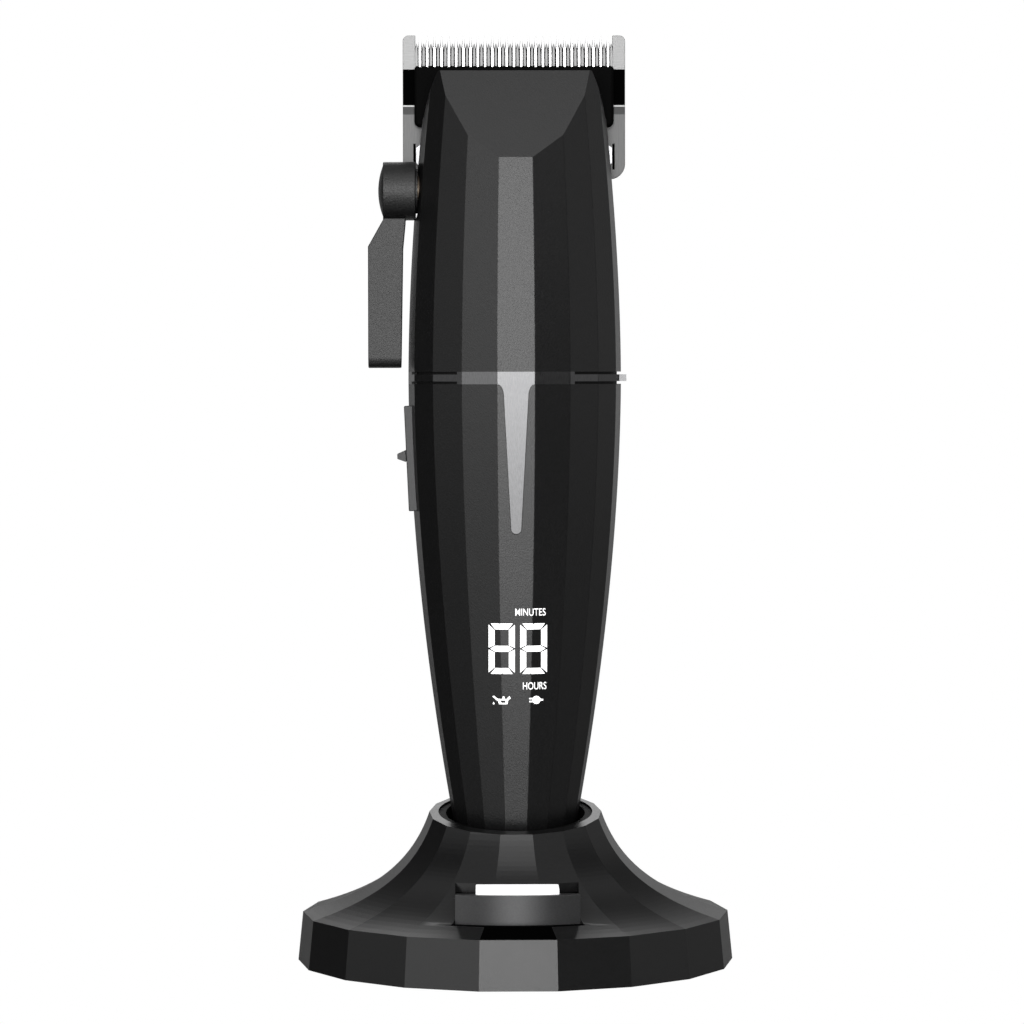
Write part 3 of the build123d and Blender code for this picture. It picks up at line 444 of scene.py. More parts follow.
board_green = finish("board_green", (0.02, 0.1, 0.04), 0.4, grain=0.8, tint=0.3)
cell_wrap = finish("cell_wrap", (0.03, 0.12, 0.3), 0.35, grain=1.2, tint=0.1)
chassis_plastic = finish("chassis_plastic", (0.03, 0.03, 0.03), 0.5, grain=0.4)
motor_steel = finish("motor_steel", (0.5, 0.5, 0.5), 0.3, 1.0, grain=0.5, depth=0.002, stretch=(1, 1, 0.1))
cast_metal = finish("cast_metal", (0.3, 0.3, 0.31), 0.55, 0.9, grain=0.8, depth=0.02, tint=0.2)
socket_black = finish("socket_black", (0.008, 0.008, 0.008), 0.45, grain=0.4)
bush_bronze = finish("bush_bronze", (0.05, 0.04, 0.03), 0.35, 1.0, grain=0.3, depth=0.002)
fork_white = finish("fork_white", (0.7, 0.7, 0.68), 0.4, grain=0.5, tint=0.04)

SLOT_FINISH = {
    "coated_shell": powder_coat,
    "dock_black": dock_coat,
    "visor_grey": visor_satin,
    "light_white": light_guide,
    "cup_black": cup_black,
    "satin_steel": trim_metal,
    "blade_steel": brushed_steel,
    "cutter_black": cutter_black,
    "lever_coat": lever_coat,
    "screw_steel": screw_steel,
    "contact_brass": contact_brass,
    "board_green": board_green,
    "digit_white": lit_white,
    "cell_wrap": cell_wrap,
    "chassis_plastic": chassis_plastic,
    "motor_steel": motor_steel,
    "cast_metal": cast_metal,
    "rubber_foot": rubber_black,
    "socket_black": socket_black,
    "slider_grey": slider_grey,
    "bush_bronze": bush_bronze,
    "fork_white": fork_white,
}
NODE_FINISH = {"lever_washer": lever_coat}


# ---------------------------------------------------------------- faceted skins
def barrel_tree():
    """Eighteen flat strips round a barrel that tapers both ways from its widest height."""
    tree = Tree("faceted_barrel", Facets=FACETS, Rings=24, Low=0.0, High=1.0, Inset=0.0,
                Widest=WIDEST_RADIUS, Height=WIDEST_Z, Below=GRIP_TAPER, Above=HEAD_TAPER,
                Power=TAPER_POWER)
    tube = tree.node("GeometryNodeMeshCylinder", {
        "Vertices": tree.size("Facets"), "Side Segments": tree.size("Rings"),
        "Radius": 1.0, "Depth": 1.0}, fill_type="NGON")
    x, y, z = tree.place()
    run = tree.sum("SUBTRACT", tree.size("High"), tree.size("Low"))
    height = tree.sum("MULTIPLY_ADD", tree.sum("ADD", z, 0.5), run, tree.size("Low"))
    offset = tree.sum("SUBTRACT", height, tree.size("Height"))
    upper = tree.sum("GREATER_THAN", offset, 0.0)
    gain = tree.sum("SUBTRACT", tree.size("Above"), tree.size("Below"))
    taper = tree.sum("MULTIPLY_ADD", upper, gain, tree.size("Below"))
    drop = tree.sum("MULTIPLY", taper, tree.sum("POWER", tree.sum("ABSOLUTE", offset), tree.size("Power")))
    radius = tree.sum("SUBTRACT", tree.sum("SUBTRACT", tree.size("Widest"), drop), tree.size("Inset"))
    spot = tree.vector(tree.sum("MULTIPLY", x, radius), tree.sum("MULTIPLY", y, radius), height)
    tree.close(tree.moved(tube.outputs["Mesh"], spot), powder_coat)
    return tree


def conic(tree, share, ends):
    """Radius and height along the flare, pulled towards its corner point."""
    back = tree.sum("SUBTRACT", 1.0, share)
    first = tree.sum("MULTIPLY", back, back)
    last = tree.sum("MULTIPLY", share, share)
    weight = tree.sum("MULTIPLY", 2.0, tree.size("Weight"))
    middle = tree.sum("MULTIPLY", tree.sum("MULTIPLY", back, share), weight)
    total = tree.sum("ADD", tree.sum("ADD", first, middle), last)
    results = []
    for start, pull, end in ends:
        value = tree.sum("MULTIPLY", first, start)
        value = tree.sum("MULTIPLY_ADD", middle, pull, value)
        value = tree.sum("MULTIPLY_ADD", last, end, value)
        results.append(tree.sum("DIVIDE", value, total))
    return results


def flare_tree():
    """Faceted dock: a short skirt, then a conic flare up to the mouth."""
    tree = Tree("faceted_flare", Facets=FACETS, Rings=30, Inset=0.0, Weight=FLARE_WEIGHT,
                Skirt=SKIRT_TOP_RADIUS, Skirt_Z=SKIRT_TOP, Pull=FLARE_PULL[0], Pull_Z=FLARE_PULL[1],
                Mouth=FLARE_END[0], Mouth_Z=FLARE_END[1])
    tube = tree.node("GeometryNodeMeshCylinder", {
        "Vertices": tree.size("Facets"), "Side Segments": tree.size("Rings"),
        "Radius": 1.0, "Depth": 1.0}, fill_type="NGON")
    x, y, z = tree.place()
    ends = [(tree.size("Skirt"), tree.size("Pull"), tree.size("Mouth")),
            (tree.size("Skirt_Z"), tree.size("Pull_Z"), tree.size("Mouth_Z"))]
    radius, height = conic(tree, tree.sum("ADD", z, 0.5), ends)
    radius = tree.sum("SUBTRACT", radius, tree.size("Inset"))
    height = tree.sum("SUBTRACT", height, tree.size("Inset"))
    spot = tree.vector(tree.sum("MULTIPLY", x, radius), tree.sum("MULTIPLY", y, radius), height)
    tree.close(tree.moved(tube.outputs["Mesh"], spot), dock_coat)
    return tree


BARREL = barrel_tree()
FLARE = flare_tree()
FACET_EDGE = 0.16


def barrel(name, low, high, inset=0.0, rounded=True):
    piece = grow(name, BARREL, Low=low, High=high, Inset=inset, Rings=max(2, round((high - low) / 3)))
    if rounded:
        # only the long edges between facets are rounded, so the ends stay true
        step = piece.modifiers.new("facet edges", "BEVEL")
        step.limit_method = "WEIGHT"
        step.width = FACET_EDGE
        step.segments = 2
        weights = piece.data.attributes.new("bevel_weight_edge", "FLOAT", "EDGE")
        for edge in piece.data.edges:
            a, b = (piece.data.vertices[i].co for i in edge.vertices)
            weights.data[edge.index].value = 1.0 if abs(a.z - b.z) > 1e-3 else 0.0
        bake(piece)
    return piece


def barrel_radius(z):
    taper = GRIP_TAPER if z < WIDEST_Z else HEAD_TAPER
    return WIDEST_RADIUS - taper * abs(z - WIDEST_Z) ** TAPER_POWER


def half_space(name, side):
    low, high = (-FAR, 0.0) if side == "front" else (0.0, FAR)
    return brick(name, -FAR, FAR, low, high, -FAR, 4 * FAR)


# ---------------------------------------------------------------- grip
def spike_points(gap):
    """Tongue of the trim ring: shoulders with fillets, then a long taper to a round tip."""
    top = WIDEST_RADIUS * math.sin(HALF_FACET) + gap
    shoulder, shoulder_z = 2.45 + gap, 117.0
    tip, tip_z = 1.0 + gap, 90.2
    right = []
    for step in range(9):
        turn = math.radians(-90 + 90 * step / 8)
        right.append((tip * math.cos(turn), tip_z + tip * math.sin(turn)))
    for step in range(9):
        turn = math.radians(90 * step / 8)
        right.append((shoulder + (top - shoulder) * (1 - math.cos(turn)),
                      shoulder_z + (RING_LOW - shoulder_z) * math.sin(turn)))
    right.append((top, RING_LOW + 0.2))
    left = [(-x, z) for x, z in reversed(right)]
    return right + left[:-1]


def switch_frame():
    """Place of the switch: origin in the middle of its face, X into the grip."""
    low, high = barrel_radius(SWITCH_LOW), barrel_radius(SWITCH_HIGH)
    slope = math.atan((high - low) / (SWITCH_HIGH - SWITCH_LOW))
    shift = Matrix.Translation((-(low + high) / 2 - 0.95, 0, (SWITCH_LOW + SWITCH_HIGH) / 2))
    return shift @ Matrix.Rotation(-slope, 4, "Y")


SWITCH_PLACE = switch_frame()


def switch_brick(name, x0, x1, half, z0, z1):
    piece = brick(name, x0, x1, -half, half, z0, z1)
    piece.data.transform(SWITCH_PLACE)
    return piece


def grip_screw_seat(z):
    """Depth of a grip screw's seat below the rear facet."""
    return barrel_radius(z) * math.cos(HALF_FACET) - 1.3


def grip():
    shell = cut(barrel("grip", GRIP_LOW, RING_LOW),
                barrel("grip bore", GRIP_LOW - 1, RING_LOW + 1, SHELL_WALL, False),
                switch_brick("switch window", -3.0, 5.6, 3.9, -10.8, 10.8))
    rear = keep(copy_of(shell, "grip_rear"), half_space("rear half", "rear"))
    front = keep(shell, half_space("front half", "front"))
    front.name = "grip_front"
    seat = cut(plate("spike seat", spike_points(0.15), -FAR, -5.0),
               barrel("seat floor", 80.0, RING_LOW + 5, SPIKE_DEPTH, False))
    cut(front, seat)
    for z in GRIP_SCREW_HEIGHTS:
        seat_y = grip_screw_seat(z)
        cut(rear, rod("screw sink", SINK_RADIUS, seat_y, seat_y + 8, "Y", (0.0, z), 32))
    for piece, node in ((front, "grip_front_shell"), (rear, "grip_rear_shell")):
        wear(shade(piece), powder_coat)
        hang(piece, "clipper", "coated_shell", node)


def trim_ring():
    ring = cut(barrel("trim_ring", RING_LOW, RING_HIGH),
               barrel("ring bore", RING_LOW - 1, RING_HIGH + 1, SHELL_WALL, False))
    for base, top in ((RING_LOW - 1, BAND_LOW), (BAND_HIGH, RING_HIGH + 1)):
        groove = cut(barrel("groove", base, top, -1.0, False),
                     barrel("groove floor", base - 1, top + 1, 1.1, False))
        keep(groove, join(brick("sides", -FAR, FAR, -18.2, -4.0, 0, 4 * FAR),
                          brick("right side", 0, FAR, -5.0, 4.0, 0, 4 * FAR)))
        cut(ring, groove)
    join(ring, brick("lug", WIDEST_RADIUS - 1.0, WIDEST_RADIUS + 1.0, -2.5, 2.5, BAND_LOW, BAND_HIGH))
    skin = cut(barrel("spike skin", 80.0, RING_LOW + 0.2),
               barrel("spike back", 79.0, RING_LOW + 1, SPIKE_DEPTH - 0.05, False))
    spike = keep(plate("spike", spike_points(0.0), -FAR, -5.0), skin)
    join(ring, spike)
    shade(ring)
    wear(ring, trim_metal, groove_black)
    # painted shade: the faces inside the ring's grooves get a near-black finish in place of the shade in the
    # grooves
    for face in ring.data.polygons:
        middle = face.center
        outer = barrel_radius(middle.z) * math.cos(HALF_FACET)
        inside = middle.z > RING_LOW and Vector((middle.x, middle.y)).length < outer - 0.3
        face.material_index = 1 if inside else 0
    hang(ring, "clipper", "satin_steel", "trim_ring")


# ---------------------------------------------------------------- head
def past(foot, top, side):
    """(y, z) outline of everything on one side of a sloping line, drawn out at both ends."""
    run, rise = top[0] - foot[0], top[1] - foot[1]
    low, high = (foot[0] - run, foot[1] - rise), (top[0] + run, top[1] + rise)
    return [low, high, (side, high[1]), (side, low[1])]


def head_outline():
    """Front view of the head: sides that curve in towards the blade."""
    first, last = (math.radians(turn) for turn in CORNER_TURNS)
    right = []
    for step in range(13):
        angle = first + (last - first) * step / 12
        right.append((CORNER_START[0] - CORNER_RADIUS * (math.cos(first) - math.cos(angle)),
                      CORNER_START[1] + CORNER_RADIUS * (math.sin(angle) - math.sin(first))))
    right.append((right[-1][0] - 5 * math.tan(last), right[-1][1] + 5))
    foot = (right[0][0] + 9 * math.tan(first) + 4, 165)
    return mirrored([(30, 100), (30, 160), foot] + right)


def head():
    slope, ramp = past(SLOPE_FOOT, SLOPE_TOP, -FAR), past(RAMP_FOOT, RAMP_TOP, FAR)
    shell = cut(barrel("head", RING_HIGH, HEAD_TOP), plate("slope", slope, -FAR, FAR, "X"))
    keep(shell, plate("corners", head_outline(), -FAR, FAR))
    inner_slope = [(y + 1.5, z - 0.9) for y, z in slope]
    inner_ramp = [(y - 1.9, z) for y, z in ramp]
    bore = cut(barrel("head bore", RING_HIGH - 1, HEAD_TOP - HEAD_WALL, HEAD_WALL, False),
               plate("inner slope", inner_slope, -FAR, FAR, "X"))
    rear = cut(copy_of(shell, "head_rear"), plate("ramp", ramp, -FAR, FAR, "X"))
    cut(rear, cut(copy_of(bore, "rear bore"), plate("inner ramp", inner_ramp, -FAR, FAR, "X")))
    keep(rear, brick("rear zone", -FAR, FAR, 0.0, FAR, 0.0, SPLIT_TOP))
    cut(rear, brick("blade bay", -FAR, FAR, FIXED_FRONT - 0.2, FAR, RAMP_TOP[1], 4 * FAR))
    x, seat_y, z = HEAD_SCREW
    for side in (-1, 1):
        cut(rear, rod("screw sink", SINK_RADIUS, seat_y, 26.0, "Y", (side * x, z), 32))
    lid = cut(shell, bore)
    zone = [(-FAR, 0), (0, 0), (0, SPLIT_TOP), (LID_BACK, SPLIT_TOP), (LID_BACK, 4 * FAR), (-FAR, 4 * FAR)]
    keep(lid, plate("lid zone", zone, -FAR, FAR, "X"))
    for piece in (lid, rear):
        cut(piece, rod("lever seat", 6.05, -FAR, -19.9, "X", (0.0, LEVER_Z)),
            rod("lever hole", 3.6, -FAR, -17.1, "X", (0.0, LEVER_Z)))
    lid.name = "head_lid"
    for piece, node in ((lid, "head_front_cover"), (rear, "head_rear_shell")):
        wear(shade(piece, 18.0), powder_coat)
        hang(piece, "clipper", "coated_shell", node)


# ---------------------------------------------------------------- blades
def comb_tree(tooth, material):
    """One tooth set side by side along a blade's edge."""
    tree = Tree("comb_" + tooth.name, Count=TOOTH_COUNT, Pitch=TOOTH_PITCH)
    reach = tree.sum("MULTIPLY", tree.sum("SUBTRACT", tree.size("Count"), 1.0), tree.size("Pitch"))
    start = tree.vector(tree.sum("MULTIPLY", reach, -0.5), 0.0, 0.0)
    row = tree.node("GeometryNodeMeshLine", {
        "Count": tree.size("Count"), "Start Location": start,
        "Offset": tree.vector(tree.size("Pitch"), 0.0, 0.0)})
    source = tree.node("GeometryNodeObjectInfo", {"Object": tooth})
    placed = tree.node("GeometryNodeInstanceOnPoints", {
        "Points": row.outputs[0], "Instance": source.outputs["Geometry"]})
    tree.close(placed.outputs[0], material)
    return tree


def tooth(name, stations, back):
    """Pointed tooth with a narrow flat in front: (height, flat half, full half, front, bevel depth)."""
    points, faces = [], []
    for z, flat, full, front, depth in stations:
        points += [(-flat, front, z), (flat, front, z), (full, front + depth, z),
                   (full, back, z), (-full, back, z), (-full, front + depth, z)]
    count = 6
    for level in range(len(stations) - 1):
        base = level * count
        for i in range(count):
            j = (i + 1) % count
            faces.append((base + i, base + j, base + count + j, base + count + i))
    last = (len(stations) - 1) * count
    faces.append(tuple(range(count)))
    faces.append(tuple(range(last, last + count)))
    return solid(name, points, faces)


def rounded_corner(x, z, radius, first, last, steps=6):
    turns = [math.radians(first + (last - first) * i / steps) for i in range(steps + 1)]
    return [(x + radius * math.cos(turn), z + radius * math.sin(turn)) for turn in turns]


def fixed_blade():
    right = rounded_corner(BLADE_HALF - 3.0, 164.7, 3.0, -90, 0)
    right += rounded_corner(BLADE_HALF - 1.2, 190.1, 1.2, 0, 90)
    right += [(EAR_INNER, 191.3), (EAR_INNER, 184.9)]
    blade = plate("fixed_blade", mirrored(right), FIXED_FRONT, FIXED_BACK)
    grind = [(FIXED_BACK + 0.1, 183.0), (FIXED_BACK + 0.1, 195.0), (FIXED_FRONT + 0.6, 195.0)]
    cut(blade, plate("grind", grind, -FAR, FAR, "X"))
    soften(blade, 0.12, 2)
    for x in (-20.6, 20.6):
        cut(blade, brick("carriage slot", x - 0.25, x + 0.25, 5.0, 6.8, 163.6, 169.0))
    work = bmesh.new()
    work.from_mesh(blade.data)
    for height in (175.0, 176.6, 176.9, 184.3):
        everything = work.verts[:] + work.edges[:] + work.faces[:]
        bmesh.ops.bisect_plane(work, geom=everything, plane_co=(0, 0, height), plane_no=(0, 0, 1))
    work.to_mesh(blade.data)
    work.free()
    point = tooth("fixed_tooth", [(184.0, 0.26, 0.6, FIXED_FRONT, 0.6),
                                  (187.0, 0.27, 0.6, FIXED_FRONT, 0.6),
                                  (188.2, 0.22, 0.46, FIXED_FRONT, 0.5),
                                  (189.0, 0.1, 0.22, FIXED_FRONT, 0.3),
                                  (189.6, 0.02, 0.05, FIXED_FRONT + 0.1, 0.1)], FIXED_BACK - 0.9)
    teeth = grow("fixed_teeth", comb_tree(point, ground_steel), Count=TOOTH_COUNT)
    bpy.data.objects.remove(point)
    shade(blade, 25.0)
    wear(blade, brushed_steel, ground_steel, band_black, step_grey, bright_edge)
    for face in blade.data.polygons:
        z, ahead = face.center.z, face.normal.y < -0.6
        zone = 0
        if z > 184.3:
            zone = 1
        elif ahead and z > 176.9:
            zone = 2
        # painted highlight: a thin light line across the flat front face
        elif ahead and z > 176.6:
            zone = 4
        # a darker grey strip across the flat front face, below the highlight line
        elif ahead and z > 175.0:
            zone = 3
        # painted shade: the faces inside the carriage slots get the near-black finish
        elif 20.3 < abs(face.center.x) < 20.9 and 163.5 < z < 169.1 and face.center.y > FIXED_FRONT + 0.05:
            zone = 2
        face.material_index = zone
    hang(blade, "blade_carriage", "blade_steel", "fixed_blade")
    hang(shade(teeth, 20.0), "blade_carriage", "blade_steel")


def moving_blade():
    left = [(-13.0, 172.3), (-16.0, 172.3)] + rounded_corner(-CUTTER_HALF + 1.2, 173.5, 1.2, -90, -180)
    left += [(-CUTTER_HALF, 184.9)]
    body = plate("moving_blade", mirrored(left), CUTTER_FRONT, CUTTER_BACK)
    soften(body, 0.7, 4, 60.0)
    point = tooth("cutting_tooth", [(184.0, 0.14, 0.33, CUTTER_FRONT + 0.2, 0.4),
                                    (185.6, 0.2, 0.38, CUTTER_FRONT + 0.3, 0.4),
                                    (188.6, 0.2, 0.4, CUTTER_FRONT + 0.7, 0.4),
                                    (189.4, 0.12, 0.27, CUTTER_FRONT + 0.9, 0.3),
                                    (190.2, 0.06, 0.13, CUTTER_FRONT + 1.1, 0.2),
                                    (191.1, 0.015, 0.03, CUTTER_FRONT + 1.4, 0.1)], CUTTER_BACK - 0.04)
    teeth = grow("cutting_teeth", comb_tree(point, polished_steel), Count=TOOTH_COUNT - 1)
    bpy.data.objects.remove(point)
    wear(shade(body), cutter_black)
    hang(body, "cutter", "cutter_black", "moving_blade")
    hang(shade(teeth, 20.0), "cutter", "cutter_black")


# ---------------------------------------------------------------- dressed solids
def dress(node, material, width):
    """Copy of a plain solid with its loose triangles merged, flat faces joined and edges rounded."""
    source = frame["nodes"][node]
    piece = link(bpy.data.objects.new(node + "_dressed", source.data.copy()))
    piece.data.transform(source.matrix_world)
    piece.data.transform(Matrix.Scale(1 / MM, 4))
    work = bmesh.new()
    work.from_mesh(piece.data)
    bmesh.ops.remove_doubles(work, verts=work.verts, dist=2e-3)
    bmesh.ops.dissolve_limit(work, angle_limit=math.radians(1.0), verts=work.verts, edges=work.edges)
    work.to_mesh(piece.data)
    work.free()
    if width:
        soften(piece, width)
    wear(shade(piece), material)
    return piece


def dress_and_hang(node, slot, width=0.15):
    piece = dress(node, SLOT_FINISH[slot], width)
    return hang(piece, frame["nodes"][node]["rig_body"], slot, node)


# ---------------------------------------------------------------- dock
def dock():
    shell = cut(flare_with_skirt("dock_shell_skin", 0.0, SKIRT_LOW),
                flare_with_skirt("flare inside", DOCK_WALL, -5.0))
    above = brick("above rim", -FAR, FAR, -FAR, FAR, 0.0, FAR)
    tilt = Matrix.Rotation(math.radians(RIM_TILT), 4, "X")
    above.data.transform(Matrix.Translation((0, 0, RIM_Z)) @ tilt)
    cut(shell, above, rod("cup bore", CUP_RADIUS, CUP_FLOOR, FAR))
    cut(shell, slot_room("notch", LEDGE_LOW, FAR))
    cut(shell, sector("visor slot", VISOR_INNER - 0.05, VISOR_OUTER, 9.0, FAR),
        sector("visor pocket", VISOR_INNER - 0.05, POCKET_RADIUS, POCKET_FLOOR, FAR))
    cut(shell, rod("inlet", INLET_RADIUS, 30.0, FAR, "Y", (0.0, INLET_Z)))
    wear(crease(shell), dock_coat, band_black)
    # painted shadow: the front facet's upward faces just below the visor get the near-black, almost
    # reflectionless finish in place of the visor's shadow
    for face in shell.data.polygons:
        x, y, z = face.center
        painted_shadow_under_visor = y < -34.0 and abs(x) < 7.0 and 10.6 < z < 14.5 and face.normal.z > 0.3
        face.material_index = 1 if painted_shadow_under_visor else 0
    hang(shell, "dock", "dock_black", "dock_shell")
    # painted shade: a thin near-black sheet laid on the notch's ledge below the light bar, standing in for
    # the shade in the recess
    floor = slot_room("slot_floor", LEDGE_LOW + 0.1, LEDGE_LOW + 0.75, VISOR_INNER - 0.1)
    hang(wear(floor, band_black), "dock", "visor_grey")


def slot_room(name, low, high, reach=VISOR_INNER):
    """Room behind the visor: straight sides, its back along the flare's facets."""
    sides = brick("slot sides", -NOTCH_HALF, NOTCH_HALF, -FAR, 0, 0, FAR + 1)
    room = keep(rod(name, reach, low, high), sides)
    turns = [2 * math.pi * i / FACETS for i in range(FACETS)]
    core = [(NOTCH_BACK * math.cos(turn), NOTCH_BACK * math.sin(turn)) for turn in turns]
    return cut(room, plate("core", core, low - 1, high + 1, "Z"))


def crease(piece, angle=35.0):
    """Smooth faces, but every edge along a facet's border stays sharp from skirt to mouth."""
    mesh = piece.data
    mesh.shade_smooth()
    mesh.set_sharp_from_angle(angle=math.radians(angle))
    marks = mesh.attributes.get("sharp_edge") or mesh.attributes.new("sharp_edge", "BOOLEAN", "EDGE")
    for edge in mesh.edges:
        turns = []
        for index in edge.vertices:
            spot = mesh.vertices[index].co
            turns.append(math.degrees(math.atan2(spot.y, spot.x)) % 20.0)
        if all(min(turn, 20.0 - turn) < 0.05 for turn in turns):
            marks.data[edge.index].value = True
    step = piece.modifiers.new("weigh", "WEIGHTED_NORMAL")
    step.keep_sharp = True
    return bake(piece)


def flare_with_skirt(name, inset, foot):
    """Flare with a straight faceted skirt drawn down from its lower edge."""
    piece = grow(name, FLARE, Inset=inset)
    work = bmesh.new()
    work.from_mesh(piece.data)
    low = min(vertex.co.z for vertex in work.verts)
    bottom = [face for face in work.faces if all(abs(vertex.co.z - low) < 1e-4 for vertex in face.verts)]
    drawn = bmesh.ops.extrude_face_region(work, geom=bottom)
    for item in drawn["geom"]:
        if isinstance(item, bmesh.types.BMVert):
            stretch = (SKIRT_RADIUS - inset) / math.hypot(item.co.x, item.co.y)
            item.co = (item.co.x * stretch, item.co.y * stretch, foot)
    bmesh.ops.delete(work, geom=[face for face in bottom if face.is_valid], context="FACES")
    bmesh.ops.recalc_face_normals(work, faces=work.faces)
    work.to_mesh(piece.data)
    work.free()
    return piece


def sector(name, inner, outer, low, high, half=20.6, steps=24):
    """Part of a ring centred on the front."""
    angles = [math.radians(-90 - half + 2 * half * i / steps) for i in range(steps + 1)]
    outline = [(outer * math.cos(a), outer * math.sin(a)) for a in angles]
    outline += [(inner * math.cos(a), inner * math.sin(a)) for a in reversed(angles)]
    return plate(name, outline, low, high, "Z")


# ---------------------------------------------------------------- display
def surface_y(x, z):
    """Depth of the grip's skin in front, over its three middle facets."""
    radius = barrel_radius(z)
    flat = radius * math.sin(HALF_FACET)
    return -(radius * math.cos(HALF_FACET) - max(0.0, abs(x) - flat) * math.tan(2 * HALF_FACET))


def inlay(piece, proud=0.03):
    """Lays a flat (x, z) drawing on the grip's facets, as a thin skin."""
    work = bmesh.new()
    work.from_mesh(piece.data)
    heights = [v.co.z for v in work.verts]
    fold = barrel_radius((min(heights) + max(heights)) / 2) * math.sin(HALF_FACET)
    for x in (-fold, fold):
        everything = work.verts[:] + work.edges[:] + work.faces[:]
        bmesh.ops.bisect_plane(work, geom=everything, plane_co=(x, 0, 0), plane_no=(1, 0, 0))
    for vertex in work.verts:
        vertex.co.y = surface_y(vertex.co.x, vertex.co.z) - proud
    shape = bmesh.ops.extrude_face_region(work, geom=work.faces[:])
    for item in shape["geom"]:
        if isinstance(item, bmesh.types.BMVert):
            item.co.y += 0.1
    bmesh.ops.recalc_face_normals(work, faces=work.faces)
    face_outwards(work)
    work.to_mesh(piece.data)
    work.free()
    return wear(piece, lit_white)


def face_outwards(work):
    """Turns round every separate lump whose faces point inwards."""
    left = set(work.faces)
    while left:
        lump, edge = set(), [left.pop()]
        while edge:
            face = edge.pop()
            lump.add(face)
            for beside in {other for side in face.edges for other in side.link_faces} & left:
                left.discard(beside)
                edge.append(beside)
        middle = sum((face.calc_center_median() for face in lump), Vector()) / len(lump)
        volume = 0.0
        for face in lump:
            volume += (face.calc_center_median() - middle).dot(face.normal) * face.calc_area()
        if volume < 0:
            bmesh.ops.reverse_faces(work, faces=list(lump))


def flat_shape(name, polygons):
    points, faces = [], []
    for polygon in polygons:
        faces.append(tuple(range(len(points), len(points) + len(polygon))))
        points += [(x, 0.0, z) for x, z in polygon]
    mesh = bpy.data.meshes.new(name)
    mesh.from_pydata(points, [], faces)
    return link(bpy.data.objects.new(name, mesh))


def digit(left, right, low, high, bar=1.22, gap=0.16):
    """Seven lit segments mitred at the corners, with a pointed middle one."""
    middle, half = (low + high) / 2, bar / 2
    inner_left, inner_right = left + bar, right - bar
    top = [(left + 2.6 * gap, high), (right - 2.6 * gap, high),
           (inner_right - 0.6 * gap, high - bar), (inner_left + 0.6 * gap, high - bar)]
    bottom = [(x, low + high - z) for x, z in top]
    across = [(left + 2 * gap, middle), (inner_left + 0.5 * gap, middle + half),
              (inner_right - 0.5 * gap, middle + half), (right - 2 * gap, middle),
              (inner_right - 0.5 * gap, middle - half), (inner_left + 0.5 * gap, middle - half)]
    upright = [(left, high - 1.6 * gap), (inner_left, high - bar - 0.7 * gap),
               (inner_left, middle + half + 0.8 * gap), (left, middle + gap)]
    sides = []
    for flip_x in (False, True):
        for flip_z in (False, True):
            sides.append([(left + right - x if flip_x else x, low + high - z if flip_z else z)
                          for x, z in upright])
    return [top, bottom, across] + sides


def oil_mark():
    """Little oil can: spout, open body, handle and a drop."""
    body = [[(-3.9, 55.2), (-1.9, 55.2), (-1.9, 54.9), (-3.6, 54.9)],
            [(-3.6, 54.4), (-1.9, 54.4), (-1.9, 54.1), (-3.5, 54.1)],
            [(-3.9, 55.0), (-3.4, 55.0), (-3.1, 54.3), (-3.6, 54.1)],
            [(-2.3, 55.0), (-1.7, 55.2), (-1.9, 54.2), (-2.3, 54.2)]]
    spout = [(-5.0, 55.7), (-4.6, 55.8), (-3.7, 55.1), (-4.0, 54.8)]
    handle = [(-2.0, 55.3), (-1.5, 55.8), (-1.25, 55.3), (-1.8, 54.9)]
    cap = [(-2.9, 55.2), (-2.5, 55.2), (-2.5, 55.7), (-2.9, 55.7)]
    drop = [(-4.9, 54.2), (-4.7, 54.6), (-4.5, 54.2), (-4.7, 54.0)]
    return body + [spout, handle, cap, drop]


def plug_mark():
    """Little plug: round body, two pins and a stub of lead."""
    turns = [math.radians(angle) for angle in range(0, 360, 30)]
    body = [(3.95 + 0.85 * math.cos(turn), 54.95 + 0.85 * math.sin(turn)) for turn in turns]
    pins = [[(2.5, z), (3.2, z), (3.2, z + 0.3), (2.5, z + 0.3)] for z in (54.5, 55.1)]
    stub = [(4.7, 54.7), (5.35, 54.8), (5.35, 55.1), (4.7, 55.2)]
    return [body, stub] + pins


def words(name, text, left, right, low, high):
    curve = bpy.data.curves.new(name, "FONT")
    curve.body = text
    curve.offset = 0.004
    piece = link(bpy.data.objects.new(name, curve))
    graph = bpy.context.evaluated_depsgraph_get()
    mesh = bpy.data.meshes.new_from_object(piece.evaluated_get(graph))
    bpy.data.objects.remove(piece)
    spots = [v.co for v in mesh.vertices]
    x0, x1 = min(s.x for s in spots), max(s.x for s in spots)
    y0, y1 = min(s.y for s in spots), max(s.y for s in spots)
    for spot in spots:
        across, up = (spot.x - x0) / (x1 - x0), (spot.y - y0) / (y1 - y0)
        spot.xyz = (left + across * (right - left), 0.0, low + up * (high - low))
    return link(bpy.data.objects.new(name, mesh))


def display():
    lit = flat_shape("lit_digits", digit(-5.58, -0.28, 60.75, 71.05) + digit(0.8, 6.24, 60.75, 71.05))
    hang(inlay(lit), "clipper", "digit_white", "display_digits")
    for name, text, box in (("minutes_word", "MINUTES", (-0.2, 5.95, 72.6, 74.1)),
                            ("hours_word", "HOURS", (1.35, 6.12, 57.55, 59.05))):
        hang(inlay(words(name, text, *box)), "clipper", "digit_white")
    for name, shapes in (("oil_sign", oil_mark()), ("plug_sign", plug_mark())):
        raised = [[(x + 0.13, z + 0.45) for x, z in shape] for shape in shapes]
        hang(inlay(flat_shape(name, raised)), "clipper", "digit_white")


